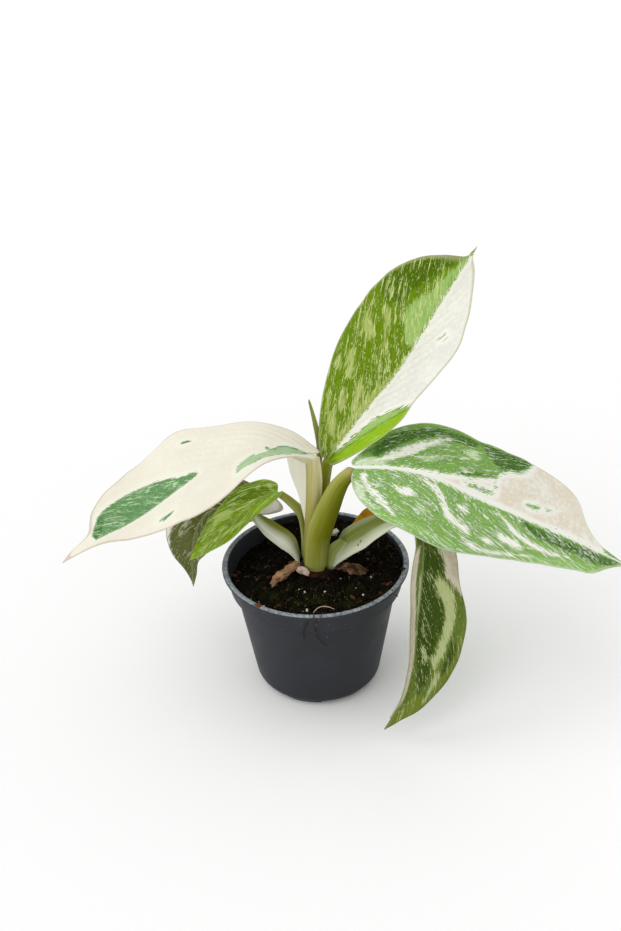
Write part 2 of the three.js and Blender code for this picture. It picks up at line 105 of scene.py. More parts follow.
# Broad light from the upper left: its place, its turn in radians and how many degrees of the sky it fills
KEY_PLACE = (-0.4, -0.3, 1)
KEY_TURN = (0.253, -0.669, 0)
KEY_SPREAD = 70

# What all blades share, in millimetres
VEIN_SWEEP = 1.6          # power by which a vein bends forward on its way from the midrib to the margin
CREASE = 0.8              # half the width of the rounded crease at the midrib
HALF_THICKNESS = 0.42     # at the midrib
THINNING = 0.26           # of the half thickness, by the margin
GROOVE = 0.35             # depth of the groove above the midrib
RIDGE_HEIGHT = 0.16       # of the low ridges between the veins
RIDGE_SPACING = 5.5
SWELLING = 0.25           # height of the soft swellings
SWELLING_SIZE = 7

# Measuring of a smooth line: straight steps from end to end, and how far each way its direction is taken
LINE_STEPS = 800
DIRECTION_REACH = 0.3

PAPER = 0.3               # thickness of a papery bract

# Each leaf has a stalk and a blade. The stalk runs through the points of `stalk`, its hollow side facing
# `stalk_face`, with half widths to its left and right, a depth, and a hollow that is 1 where it is round
# and below 0 where it is a channel. The blade's midrib runs through `midrib`, its upper side facing `face`.
# `fold` lifts the left and right half in degrees, `curl` adds degrees per millimetre out from the midrib,
# and `left` and `right` are the outline, in millimetres along the flat midrib and out from it. Lists of
# widths, depths, hollows and faces are spread evenly from the foot to the tip. `wave` has a height, a number
# of cycles and a phase, `lean` is how far a vein runs forward for each millimetre out, and `wing` is how far
# out a stalk turns into a thin wing.
LEAVES = {
    "leaf_upright": {
        "stalk": [[2.6, 1.2, 49.3], [2.6, 1.7, 54], [2.6, 3.2, 61], [3, 4.6, 70], [4, 5.4, 80], [5.3, 6, 88],
                  [6.3, 6.2, 91.4]],
        "stalk_face": [[-0.3, -0.9, 0], [-0.3, -0.9, 0.2]],
        "stalk_left": [2.1, 2.1, 2.2, 2], "stalk_right": [2.1, 2.1, 2.2, 2], "depth": [2.1, 2.1, 2.1, 2],
        "hollow": [0.6, 0.4, 0.6, 0.9],
        "midrib": [[6, 6.2, 91.5], [19, 12, 107], [33, 18.5, 121.5], [46.5, 28, 139], [56, 36, 150.5],
                   [62.5, 43.5, 156.5]],
        "face": [[-0.24, -0.75, 0.67]],
        "fold": (30, 37), "curl": (-0.3, -0.3), "wave": (0.6, 3, 0.5), "lean": 1.4,
        "left": [[0, 0], [-0.5, 3.5], [7, 9.6], [20, 17], [35, 23.4], [52, 24.7], [67, 22.5], [78, 16.2],
                 [84, 8.8], [88.5, 1.8], [92, 0.6], [95, 0]],
        "right": [[0, 0], [-0.9, 3.9], [7, 9.7], [18, 15.6], [28, 18.2], [38, 17], [47, 17.9], [57, 19.8],
                  [66, 17.4], [75, 12.7], [84, 6.4], [90, 1.2], [95, 0]],
    },
    "leaf_left": {
        "stalk": [[-2.1, 0.3, 49.2], [-1.2, 0.2, 60], [-0.5, 0, 70], [0.3, -0.1, 80], [0.6, 0, 89],
                  [0.3, 0, 95.6]],
        "stalk_face": [[0.5, 0.85, 0], [0.6, 0.8, 0]],
        "stalk_left": [2.1, 2.3, 2.6, 3, 3.6, 3.2], "stalk_right": [2.1, 2.4, 3.4, 6.5, 11, 14],
        "depth": [2.1, 2.3, 2.5, 2.8, 3, 2.6], "hollow": [0.9, 0.8, 0.6, 0.3, 0, -0.2], "wing": 2.9,
        "midrib": [[-0.5, 0, 97.3], [-9, -1, 101.8], [-21.5, -3, 102.6], [-41, -6, 93.4], [-62.3, -10, 79.5],
                   [-79, -13.5, 72.3], [-91, -16, 65]],
        "face": [[0, -0.1, 1]],
        "fold": (10, 10), "curl": (-0.2, -0.2), "wave": (1.2, 3, 4.4), "lean": 1.6,
        "left": [[0, 0], [-3, 2.8], [3.1, 5.6], [11.8, 9.8], [20.7, 15.4], [30, 18.8], [40, 21.2],
                 [48.5, 22.6], [57, 19.5], [65.6, 14.8], [75.4, 10.1], [84, 5.5], [91.4, 3.1], [98, 1.2],
                 [103, 0]],
        "right": [[0, 0], [-3.6, 3], [3.8, 7.1], [16.4, 11.2], [26.4, 16.2], [36, 20.9], [44, 24.8],
                  [52, 25.8], [61, 27.3], [68, 26], [75, 22], [82.1, 17.8], [87, 12.4], [89.8, 4.8],
                  [94, 2.8], [99, 1.8], [103, 0]],
    },
    "leaf_right": {
        "stalk": [[0, -3, 49.2], [0.8, -3.2, 60], [2.3, -3.5, 68], [5.4, -4, 77], [9.5, -4.6, 87],
                  [14.8, -5, 93.4]],
        "stalk_face": [[0, 1, 0], [-0.4, 0.9, 0.2]],
        "stalk_left": [4, 4.4, 5, 4.6, 3.9, 2.8], "stalk_right": [4.1, 4.2, 4.8, 4.8, 4, 2.6],
        "depth": [2, 2.1, 2.2, 2.2, 2.2, 1.8], "hollow": [0, 0, 0, 0.2, 0.6, 1],
        "midrib": [[15, -5, 94.2], [29.5, -7, 94.2], [45, -8.5, 90.2], [61, -10, 81.2], [85, -12, 69.5],
                   [105, -13.5, 58.5], [115.5, -14.5, 52.5]],
        "face": [[0, -0.5, 1]],
        "fold": (-6, -6), "curl": (0, 0), "wave": (0.8, 4, 1), "lean": 2,
        "left": [[0, 0], [-1, 3], [5, 10], [12, 17.6], [21, 22.8], [31, 23.4], [41, 24.3], [48, 25.7],
                 [58, 24.9], [70, 24.8], [79, 21.9], [85, 17.4], [89.5, 9.5], [95, 3.9], [102, 1.5],
                 [111, 0]],
        "right": [[0, 0], [-0.8, 5], [1.8, 11.8], [8, 18], [17, 22.1], [28, 24.6], [40, 23.9], [52, 20.8],
                  [64, 17.4], [78, 14.1], [89, 11], [96, 9], [101.5, 4.6], [106, 1.6], [111, 0]],
    },
    "leaf_hanging": {
        "stalk": [[6.6, -0.3, 49.2], [7.2, -0.9, 53], [11, -4, 60.5], [16.5, -7.5, 67], [22.5, -11.5, 73.5],
                  [29, -15.2, 78.6], [36.3, -18.8, 79.2]],
        "stalk_face": [[-1, 0, 0.1], [-0.4, -0.45, 0.8], [-0.3, -0.4, 0.9]],
        "stalk_left": [3, 6.5, 5.6, 3.8, 2], "stalk_right": [3.4, 6, 6.4, 4.4, 2],
        "depth": [1.3, 1.8, 2, 2, 1.9], "hollow": [0, -0.2, -0.1, 0.3, 0.8],
        "midrib": [[37, -19.4, 78.8], [38, -22.8, 71.5], [37, -28.5, 58.5], [35, -34.5, 43.5],
                   [33.5, -39, 31.5], [30, -42, 18], [23, -44.5, 6.2]],
        "face": [[0.75, -0.66, 0.2]],
        "fold": (25, 28), "curl": (-0.3, -0.2), "wave": (0.6, 3, 0), "lean": 1.8,
        "left": [[0, 0], [-1.5, 5], [4, 11], [13, 14.7], [23, 17.1], [33, 20.6], [42, 22.3], [51, 20.5],
                 [60, 16], [67, 10.2], [73, 4.8], [77, 2.2], [80, 0]],
        "right": [[0, 0], [0.5, 3.2], [6, 8.5], [14, 14.2], [25, 15], [35, 10.5], [45, 7.4], [55, 7.2],
                  [64, 5.4], [71, 2.2], [76, 0.8], [80, 0]],
    },
    "leaf_small": {
        "stalk": [[-3.7, 5.2, 49.2], [-3.6, 6.2, 60], [-4.6, 7.2, 67.5], [-8.7, 9.6, 71.6],
                  [-12.8, 11.8, 74]],
        "stalk_face": [[1, -0.5, 0], [0, -0.3, 1]],
        "stalk_left": [1.3, 1.6, 2.2, 1.4], "stalk_right": [1.3, 1.6, 2.2, 1.4], "depth": [1.5, 1.5, 1.3],
        "hollow": [0.6, 0.4, 0.9],
        "midrib": [[-13.2, 12, 74.6], [-22, 9.5, 72], [-29, 6, 67.5], [-36, 2, 64], [-42.5, -2, 59.5],
                   [-46.3, -4, 56.4]],
        "face": [[-0.1, -0.25, 1]],
        "fold": (15, 15), "curl": (-0.5, -0.5), "wave": (0.3, 3, 0), "lean": 2.4,
        "left": [[0, 0], [-1, 2.5], [5, 6], [13, 7], [21, 7.5], [29, 7.5], [35, 5], [39.5, 2], [42, 0]],
        "right": [[0, 0], [-1, 3.5], [3.5, 7.5], [10, 9], [17, 8.8], [24, 7], [31, 4.6], [37, 2.2], [42, 0]],
    },
    "leaf_back": {
        "stalk": [[-5.9, 0.8, 49.2], [-6.3, 1.2, 52.5], [-9.8, 4.2, 57.5], [-15.5, 8.8, 59.5],
                  [-20, 13.5, 60.8], [-23, 17, 61]],
        "stalk_face": [[1, 0, 0.1], [-0.2, -0.6, 0.75], [0, -0.3, 0.9]],
        "stalk_left": [2.8, 4.4, 3.6, 1.8], "stalk_right": [2.1, 3, 3, 1.8],
        "depth": [1.2, 1.6, 1.8, 1.6], "hollow": [0, -0.2, 0, 0.8],
        "midrib": [[-23.3, 17.3, 61.4], [-29.7, 21, 61.6], [-36, 23, 61.1], [-41.8, 24, 57.5],
                   [-46.1, 24, 49.7], [-48.3, 22.5, 39], [-48.6, 20.5, 26.2]],
        "face": [[0, -0.1, 1], [-0.4, -0.6, 0.65], [-0.4, -0.85, 0.3]],
        "fold": (14, 8), "curl": (0, 0), "wave": (0.3, 3, 1), "lean": 1.5,
        "left": [[0, 0], [-3, 4], [0, 8.5], [8, 11], [18, 12], [28, 11.5], [36, 8], [42, 3.4], [48, 2],
                 [54, 0]],
        "right": [[0, 0], [-6, 2.5], [-9.5, 6.5], [-6, 10], [3, 12.6], [14, 13.6], [25, 13.2], [34, 12.5],
                  [41, 9], [46, 4], [50, 1.4], [54, 0]],
    },
}

# Variegation of each blade on its flat millimetres, x along the midrib and y out from it, minus to the left.
# A patch is a list of corners that its smooth outline passes. `island` is green inside the cream.
# The corners were traced on the photograph. For most patches a separate program then worked out these
# millimetres through the camera, to the nearest half.
MARKS = {
    "leaf_right": {
        "cream": [
            [(66, -26.5), (63, -19.5), (57.5, -17), (53, -14), (52, -11), (52.5, -6.5), (52, -9),
             (52, -11), (47.5, -9.5), (42.5, -7), (37, -5), (32.5, -3), (26.5, -2), (19, -1), (11, -0.5),
             (4, 0.5), (12, 0.5), (22, 1), (31, 1.5), (41, 1), (50, 0.5), (60, 0.5), (70, 1), (83, 0.5),
             (95, 0.5), (99, 0), (96, -4.5), (92.5, -8.5), (88.5, -14.5), (84.5, -21), (79, -25.5),
             (73, -27.5)],
            [(7, -3), (12, -6.5), (19, -11.5), (25, -15), (29.5, -17.5), (31.5, -18), (27, -14), (23, -10),
             (17.5, -6), (12, -3)],
            [(23.5, 2), (27, 2.5), (30.5, 3.5), (34, 5.5), (36.5, 8.5), (39.5, 10.5), (43.5, 12),
             (46.5, 13), (47.5, 14.5), (45, 15), (41, 14), (37, 12.5), (34.5, 9.5), (31.5, 7),
             (27.5, 4.5)],
            [(14.5, 6.5), (17.5, 7), (20.5, 6.5), (22.5, 8.5), (20.5, 10), (17, 9.5)],
            [(39.5, 6.5), (42.5, 5.5), (44.5, 7), (42, 7.5)],
            [(41.5, 1.5), (44, 1), (44, 2), (42, 2.5)],
            [(51, 13.5), (54, 13), (56.5, 14), (53.5, 15.5)],
            [(56, 9.5), (60, 9.5), (64.5, 9.5), (67.5, 12), (63, 12.5), (58.5, 12)],
            [(54.5, 1.5), (59, 4), (64.5, 6.5), (70.5, 8), (78, 8.5), (86, 7.5), (80.5, 9.5), (73, 10),
             (67.5, 9.5), (62.5, 7.5), (58, 4.5)],
            [(44.5, 16.5), (51, 18), (60.5, 16), (71.5, 13), (60.5, 17), (51, 19)],
            [(2, 3.5), (4, 2.5), (5.5, 6.5), (12, 13), (16.5, 18.5), (10.5, 14.5), (5, 9)],
        ],
        "pale": [
            [(21, -6), (25.5, -8), (30.5, -9.5), (26, -6.5)],
            [(36, -12.5), (43, -17), (44, -16.5), (38, -13)],
            [(37, -16.5), (41, -19), (43.5, -17.5), (39, -15.5)],
            [(1.5, -3.5), (7, -4), (11, -1.5), (5, -0.5), (0.5, -1)],
            [(36.5, -8), (40.5, -9), (42.5, -9.5), (39, -7)],
            [(0.5, 5), (3, 7), (5, 12), (8, 16), (4.5, 14), (1, 10.5)],
            [(23.5, 12.5), (27, 13), (29, 14.5), (26, 14.5)],
        ],
        "deep": [
            [(4.5, -7), (7.5, -10.5), (11.5, -15.5), (18, -19), (26.5, -22), (31.5, -22), (37, -23),
             (42.5, -24), (41, -20.5), (36, -18.5), (30, -17.5), (24.5, -16), (20, -13.5), (15, -10.5),
             (11, -6.5), (7, -4.5)],
            [(42, -24), (52, -25.5), (59, -24.5), (64.5, -24.5), (62, -19.5), (56, -17), (52.5, -16.5),
             (49, -18.5), (45.5, -21.5)],
            [(36, -8), (40.5, -9.5), (46, -11), (51.5, -13), (52, -12), (47.5, -10), (42.5, -7.5),
             (38.5, -5.5)],
            [(62, 1), (70, 1.5), (80.5, 1.5), (91, 1), (98, 0.5), (105, 0.5), (101.5, 4), (95.5, 5.5),
             (88.5, 5.5), (80, 6), (72.5, 6), (67.5, 4.5)],
        ],
        "bright": [
            [(66.5, 14), (76, 12), (85.5, 8.5), (94, 6.5), (99, 5), (94.5, 10), (83.5, 13.5), (70, 15)],
            [(1.5, 9), (5.5, 14), (12.5, 17.5), (20.5, 19), (32, 20.5), (43, 20.5), (33, 23), (18.5, 22),
             (7, 18), (1.5, 13)],
        ],
        "island": [
            [(40, -3), (45, -4.5), (52, -5), (51, -4), (45.5, -3)],
            [(65.5, -6), (69, -7), (70, -6), (67, -5)],
            [(73, -7), (75, -8)],
        ],
    },
    "leaf_hanging": {
        "cream": [
            [(7.5, 3.5), (12.5, 8), (19, 10), (26, 9), (34, 5), (41, 2), (48, 1), (56, 0.5), (63, 1.5),
             (68, 3), (66, 9), (58, 12), (48, 11), (42, 11), (34, 14), (26, 18), (17, 17), (9, 12)],
            [(7, -5), (9, -14), (12, -18), (20, -20), (28, -22), (25.5, -17), (22, -13), (20, -10.5),
             (15.5, -9.5), (12.5, -8), (10.5, -7)],
        ],
        "pale": [
            [(19, -6.5), (22, -11), (27, -14.5), (35, -16), (43, -14.5), (50, -12), (52, -9), (46, -9.5),
             (40, -11.5), (33.5, -11.5), (28.5, -10), (25, -7)],
            [(17.5, -3), (21, -5.5), (23.5, -6.5), (21, -4.5)],
            [(48, -7.5), (50, -10.5), (54.5, -10.5), (52, -8)],
            [(54.5, -10.5), (57.5, -12), (62.5, -10.5), (66, -8.5), (61, -9.5)],
            [(16.5, 2.5), (21, 5.5), (30, 4), (39.5, 0), (39.5, 1), (29.5, 0.5), (22, 0.5)],
            [(44, -3), (47.5, -5), (52, -5), (48.5, -3.5)],
        ],
        "deep": [
            [(5.5, -0.5), (9.5, -3.5), (13, -6.5), (17, -7.5), (21, -6.5), (25, -7.5), (28.5, -10.5),
             (33.5, -11.5), (38.5, -11.5), (43, -9.5), (48, -8.5), (49.5, -6.5), (53, -8), (57, -8),
             (62, -6), (62.5, -4.5), (56, -2.5), (46, -0.5), (34, 0.5), (20, 0.5), (10, 0)],
            [(6, -2.5), (9, -5.5), (12.5, -8.5), (17, -10), (21, -11.5), (19.5, -8.5), (17, -6.5)],
            [(43, -15.5), (46.5, -18.5), (50, -18), (54, -16), (57, -13.5), (52.5, -13), (48, -14.5)],
        ],
        "bright": [
            [(36.5, -20), (44, -21.5), (49.5, -19.5), (55.5, -17), (62, -12.5), (66.5, -9), (59.5, -12),
             (52, -17), (45, -20)],
            [(63, -3.5), (65.5, -9.5), (69.5, -7), (74.5, -2.5), (78, -0.5), (71, -0.5)],
        ],
    },
    "leaf_upright": {
        "cream": [
            [(3, 0), (18, 0.5), (33, 0.5), (48, 0), (64, 0), (80, 0), (92, 0.5), (94, 3), (84, 12),
             (76, 17), (66, 23), (56, 25), (47, 23), (39, 21), (34.5, 17.5), (30.5, 14), (25.5, 10),
             (20, 7), (12, 4.5), (6.5, 2.5)],
        ],
        "mint": [
            [(52.5, -5.5), (57.5, -8.5), (62, -9.5), (65.5, -8.5), (69, -6.5), (73, -5), (78, -4.5),
             (83, -2.5), (90, 0), (72, 0), (56, 0), (50.5, 0), (50.5, -3)],
            [(6.5, 2.5), (12, 4.5), (20, 7), (25.5, 10), (30.5, 14), (34.5, 17.5), (30.5, 16),
             (24.5, 13.5), (16.5, 9), (9.5, 5.5), (3.5, 2.5)],
        ],
        "pale": [
            [(49.5, -21), (53, -21), (49, -17), (47, -14.5), (43.5, -15), (45, -18)],
            [(34, -18.5), (37, -18), (34, -15), (27.5, -11), (27.5, -13.5)],
            [(21.5, -11.5), (23.5, -11), (19, -6.5), (16.5, -6), (17.5, -9)],
            [(56.5, -16.5), (58.5, -16), (55, -12.5), (50, -11), (42.5, -7), (43.5, -9.5), (51.5, -13.5)],
            [(24.5, -7.5), (26.5, -7), (25, -4.5), (23, -5)],
            [(65, -19), (65, -17), (62.5, -16), (62.5, -18)],
            [(30, -20), (31, -19.5), (27.5, -17), (27.5, -18.5)],
            [(39, -10.5), (40, -10), (37, -7.5)],
            [(6, -2), (11, -4.5), (16, -9), (13, -10), (8, -6)],
            [(18, -4), (24, -7), (31, -9), (26, -4), (21, -2.5)],
            [(10, -10), (16, -13), (20, -15), (16, -11)],
            [(1, -0.5), (9, -2.5), (18, -3), (28, -2.5), (41, -1), (50, 0), (28, 0), (10, 0)],
        ],
        "deep": [
            [(64, -23.5), (71.5, -19.5), (78.5, -15.5), (84.5, -8), (89.5, -0.5), (84, -3), (79, -6),
             (73.5, -8), (69.5, -10), (65, -11.5), (61, -11.5), (60.5, -14), (60, -18.5)],
        ],
        "bright": [
            [(0, 2), (5.5, 4), (12, 7), (20.5, 11.5), (28, 15), (34, 17.5), (37, 18.5), (30, 19),
             (20.5, 17.5), (11.5, 13.5), (4, 8.5)],
        ],
        "island": [
            [(57.5, 10), (60, 11.5), (58.5, 12), (57.5, 11)],
        ],
    },
    "leaf_left": {
        "mint": [
            [(18, -3.5), (15.5, -5), (11.5, -2.5), (7, -2), (3, -1.5), (4.5, -4), (10, -7), (14.5, -9),
             (19.5, -10.5), (23, -12), (27, -12.5), (30, -13), (28, -8.5), (25, -6.5), (22, -6)],
        ],
        "pale": [
            [(54, 4.5), (51.5, 3), (52.5, 2), (54, 1.5)],
            [(63, 10), (61.5, 9.5), (63.5, 8.5), (65, 9)],
            [(86, 1.5), (85, 0), (86.5, 0.5)],
            [(59, 3.5), (58, 2.5), (59, 2)],
        ],
        "deep": [
            [(88, 0.5), (88, 2.5), (86.5, 6.5), (83.5, 9), (83.5, 5.5), (85, 1.5)],
        ],
        "island": [
            [(88, -0.5), (88.5, 2.5), (87, 6), (84.5, 9.5), (81, 11.5), (76, 12.5), (70.5, 13), (63, 11.5),
             (56, 8), (50, 4), (44, 1.5), (46, 0), (54, -0.5), (63, -0.5), (72, -0.5), (80, -0.5)],
            [(18, -2), (15.5, -4), (11.5, -1), (7, -1), (3, -1), (0.5, -0.5), (4.5, -4), (10, -7),
             (14.5, -8.5), (19.5, -10.5), (23, -12), (27, -12), (29.5, -13), (28, -8.5), (25, -7),
             (22, -6.5), (17.5, -6.5)],
            [(45.5, 19), (43.5, 18.5), (41.5, 17.5), (43.5, 17), (45.5, 18)],
            [(63.5, -10.5), (60, -11), (56, -11.5), (57.5, -13), (60.5, -12.5)],
        ],
    },
    "leaf_small": {
        "pale": [
            [(30.5, -2.5), (25.5, -3.5), (21, -4), (15, -5), (11, -3.5), (17.5, -5.5), (22.5, -5),
             (27.5, -4), (30.5, -3.5)],
            [(37, -0.5), (34.5, -1), (31.5, -1.5), (34.5, -2), (37, -1.5)],
            [(24.5, 5.5), (20, 5), (18, 2.5), (20.5, 2), (24, 2.5), (28, 1.5), (30, 1.5), (27, 3)],
            [(12, 6.5), (10.5, 6), (9, 5.5), (10.5, 5.5)],
            [(2.5, 4.5), (1.5, 3), (1, 0.5), (2.5, 2)],
            [(7.5, 5), (5.5, 5.5), (5.5, 4), (7, 4)],
            [(17, 5.5), (15, 4.5), (14, 2.5), (16.5, 3.5)],
            [(16, 2), (12.5, 1), (9, 0.5), (12.5, 0.5), (16, 1.5)],
            [(34, 1.5), (31.5, 2.5), (28.5, 3), (31, 2)],
            [(26.5, 0), (24.5, 0), (23.5, -1.5), (26, -1.5)],
            [(17.5, -1), (14, -0.5), (11, -1), (14.5, 0)],
        ],
        "deep": [
            [(11, 10.5), (8, 10), (3.5, 6.5), (0.5, 3), (0.5, 0.5), (4, 0), (8.5, 0.5), (12.5, 2), (17, 3),
             (19, 5), (18.5, 8.5), (14.5, 10)],
            [(29.5, 5.5), (25.5, 6), (26, 4.5), (29.5, 3.5), (33.5, 2), (36, 1), (34.5, 3)],
            [(31, -1), (26, 0), (21.5, 0), (17, -1), (23, -1), (27.5, -1), (31, 0)],
        ],
        "bright": [
            [(13.5, -3.5), (9, -3), (4.5, -2.5), (1, -1.5), (4, -4.5), (8.5, -6.5), (12.5, -6)],
        ],
    },
    "leaf_back": {
        "cream": [
            [(21.5, 8.5), (28, 9.5), (31.5, 10), (34.5, 10.5), (38, 10), (41.5, 8.5), (46, 6), (44, 12),
             (36, 16), (28, 17), (20, 15)],
            [(0.5, -4), (1.5, 2), (1, 6), (-1, 13), (-8, 14), (-13, 8), (-9, 0), (-4, -6)],
        ],
        "pale": [
            [(20.5, 3.5), (16.5, 1.5), (18.5, 0.5), (20.5, 2)],
            [(30, 6), (27, 5.5), (27, 4.5), (30.5, 4.5)],
            [(33, 7), (32, 6), (34.5, 5.5)],
        ],
        "deep": [
            [(30, 6), (19, 5.5), (13.5, 4.5), (10.5, 2), (10, -8), (20, -9), (29, -8), (31, 0)],
            [(42.5, 1.5), (40.5, 0.5), (46, 2), (54, 0), (50, 2), (46.5, 4)],
        ],
    },
}

# Light flecks on the left and the right half of each blade: some at 0, more above it and fewer below it
FLECKS = {
    "leaf_upright": (0.45, -0.3), "leaf_left": (0.6, 0.6), "leaf_right": (0.2, 0.5),
    "leaf_hanging": (0, 0), "leaf_small": (0.4, 0.5), "leaf_back": (0.1, 0.3),
}

# How far the veins break up the edges of the patches, how clear the midrib is and how short the flecks are
SURFACE = {
    "leaf_upright": (1.0, 0.3, 1.1), "leaf_left": (0.5, 0.1, 1.4), "leaf_right": (1.0, 1.0, 2.2),
    "leaf_hanging": (1.0, 0.7, 1.5), "leaf_small": (0.9, 0.3, 1.1), "leaf_back": (1.0, 0.5, 1.2),
}

# How a stalk's colour changes: rows from its foot to its top, numbers from its left edge to its right edge.
# `pale` leads to its pale colour and `shade` to its darker one.
TINTS = {
    "leaf_upright": {"pale": [[0, 0, 0, 0.2], [0.1, 0, 0, 0.4]], "shade": [[0.8, 0.6, 0.5], [0.7, 0.4, 0.2]]},
    "leaf_left": {"pale": [[0, 0, 0], [0, 0, 0], [0.4, 0.2, 0.1]],
                  "shade": [[1, 1, 1], [0.6, 0.5, 0.7], [0.2, 0.1, 0.5]]},
    "leaf_right": {"pale": [[0.5, 0.4, 0.4, 0.5], [0, 0, 0.1, 0.4], [0, 0, 0.1, 0.4], [0, 0, 0.1, 0.5]],
                   "shade": [[0.2, 0.1, 0.1, 0], [0.8, 0.7, 0.3, 0], [0.9, 0.8, 0.3, 0], [0.7, 0.6, 0.2, 0]]},
    "leaf_hanging": {"pale": [[0.3, 0, 0.1, 0.8, 1], [0.3, 0, 0, 0.7, 1], [0.2, 0, 0, 0.6, 1]],
                     "shade": [[0.2, 0.3, 0.1, 0, 0], [0.3, 0.6, 0.4, 0, 0], [0.5, 0.9, 0.7, 0.2, 0]]},
    "leaf_small": {"pale": [[0.2, 0, 0.2], [0.1, 0, 0.1]], "shade": [[0.2, 0.4, 0.2], [0.2, 0.5, 0.3]]},
    "leaf_back": {"pale": [[0.8, 1, 0.7, 0.2, 0.2], [0.7, 1, 0.5, 0, 0], [0.5, 0.8, 0.3, 0, 0]],
                  "shade": [[0, 0, 0, 0.2, 0.2], [0, 0, 0.2, 0.7, 0.6], [0, 0, 0.3, 1, 1]]},
    "sheath": {"pale": [[0.9, 0.2, 0, 0.3], [0.7, 0.1, 0, 0.1]], "shade": [[0.1, 0.1, 0.3], [0, 0.2, 0.5]]},
    "new_leaf": {"pale": [[0, 0, 0.2], [0, 0, 0.9], [0, 0, 0.9]],
                 "shade": [[0.5, 0.5, 0.5], [0.5, 0.4, 0.2]]},
}

# Rolled new leaf, dry leaf and papery bracts round the crown: a centre line with widths, as for a stalk
NEW_LEAF = {
    "stalk": [[-1, 4.8, 49.2], [-0.6, 7, 60], [0.6, 8.3, 72], [2, 9.6, 84], [3, 11, 94], [1.6, 10.6, 104],
              [-0.4, 9.6, 114.3]],
    "stalk_face": [[0.6, -0.8, 0]],
    "stalk_left": [1.4, 1.3, 1.3, 1.2, 0.4], "stalk_right": [1.4, 1.3, 1.3, 1.2, 0.4],
    "depth": [1.4, 1.3, 1.3, 1.1, 0.4], "hollow": [1, 1],
}
WITHERED_LEAF = {
    "stalk": [[9.5, 6.2, 48.6], [12.5, 6.8, 55], [17.3, 7.2, 61.3], [22, 7.4, 66.8], [26.2, 7, 68.3]],
    "stalk_face": [[-0.3, -0.9, 0.3]],
    "stalk_left": [1.6, 2, 2.8, 3, 1], "stalk_right": [1.6, 2.6, 3.2, 3.2, 1],
    "depth": [1, 1.6, 1.8, 1.6, 0.8], "hollow": [-0.4, -0.4],
}
BRACTS = {
    "bract_left": {"length": 13.5, "width": 3.8, "wrap": 1.8, "rise": 0.7, "at": (-11.6, -6.6, 50.1),
                   "turn": (0.35, -0.25, 0.72), "tone": 0.7},
    "bract_right": {"length": 11, "width": 4.2, "wrap": 1.9, "rise": 0.9, "at": (13.3, -5.3, 49.9),
                    "turn": (0.3, 0.05, -0.28), "tone": 0.25},
    "bract_pale": {"length": 5, "width": 3, "wrap": 1.4, "rise": 0.4, "at": (-4.7, -5.2, 50),
                   "turn": (0.6, 0.2, -0.5), "tone": 0.9},
}

# Sheath that joins the hanging leaf's stalk to the foot of the stalk beside it
SHEATH = {
    "stalk": [[5.2, -2.6, 49], [6, -2.5, 53], [7.6, -2.7, 57.5], [10.8, -3.7, 62]],
    "stalk_face": [[0.3, 0.9, 0.1]],
    "stalk_left": [1.7, 2.6, 3, 2], "stalk_right": [1.2, 2.4, 2.8, 1.8],
    "depth": [1.1, 1.2, 1, 0.6], "hollow": [0.3, 0.3],
}

# Dark spots on the hanging leaf's stalk: places as shares of its length and of its half width, a radius, and
# about how many millimetres the length and the half width are
STALK_SPOTS = {"along": (0.42, 0.45), "across": (0.55, 0.42), "radius": 0.55, "length": 60, "half_width": 6}

# Loose litter on the mix
LITTER_RING = (8.5, 31.2)      # least and greatest distance from the middle of what is scattered
BARK_COUNT = 60
CLUMP_COUNT = 14
CLUMP_SPREAD = (1, 1.2, 0.15)  # of the clumps about a bit of bark at the rim
FIBRE_COUNT = 36
MOSS_COUNT = 260
MOSS_MIDDLE = (-1, -20)
MOSS_SPREAD = (9, 4.5)

# White grains that have a place of their own on the mix: x, y and radius
PERLITE = [(-6.4, -13.1, 0.5), (3.1, -16.7, 0.75), (20.3, -9, 0.6), (14.5, -14.9, 0.5), (16.8, -20, 0.7),
           (-3.6, -28.5, 0.8), (7.5, 20.5, 2.7), (-12, -3.2, 0.7), (-24, -19.6, 0.4), (-22.6, -21, 0.5),
           (-21, -22.2, 0.35), (-19.2, -23.6, 0.5), (-17.4, -25, 0.4)]

# Bits of bark at the rim: x, y, z and tone. Clumps lie round the first three.
RIM_BITS = [(32.6, -7.3, 51.3, 0.4), (26.1, -16.9, 51.2, 0.8), (28.7, -21.4, 49.4, 0.5),
            (-21.1, -27.1, 51.1, 1)]

# Root hairs that hang over the lip, from their start on the mix: points, radius and tone
ROOT_HAIRS = [
    ([[-1.5, -32.7, 51.2], [-0.2, -30.9, 51.6], [1.6, -29.6, 51.6], [4, -29.4, 51.2], [6.3, -30.2, 50.6]],
     0.17, 1),
    ([[-0.6, -31.4, 50.9], [-1.2, -34, 51.5], [-1.8, -35.4, 50.6], [-3.2, -34, 48.2], [-4.9, -32.7, 43.3],
      [-5.2, -30, 38.5], [-4.8, -29.2, 35]], 0.2, 0),
    ([[2.2, -31.6, 50.9], [1.5, -34.2, 51.5], [0.8, -35.5, 50.6], [-0.3, -34.2, 48], [-0.8, -32.9, 43],
      [-0.4, -30.4, 38.2], [1.6, -29.8, 35.4], [3.6, -29.2, 33]], 0.18, 0.05),
]

# Colours that have no setting of their own, as six hexadecimal digits
STALK_BLUSH = "c9a08c"
STALK_SPOT = "2c2a16"
# Painted shade in the corner under the pot's collar
COLLAR_SHADE = "08080a"
PERLITE_DARK = "8f8a7c"
PERLITE_LIGHT = "d4d2c6"
BARK_DARK = "24130c"
BARK_LIGHT = "684430"
MOSS_LIGHT = "646a34"
FIBRE_DARK = "2e1610"
WITHERED_DARK = "6b4314"
PALE_BRACT = "d9bfb4"


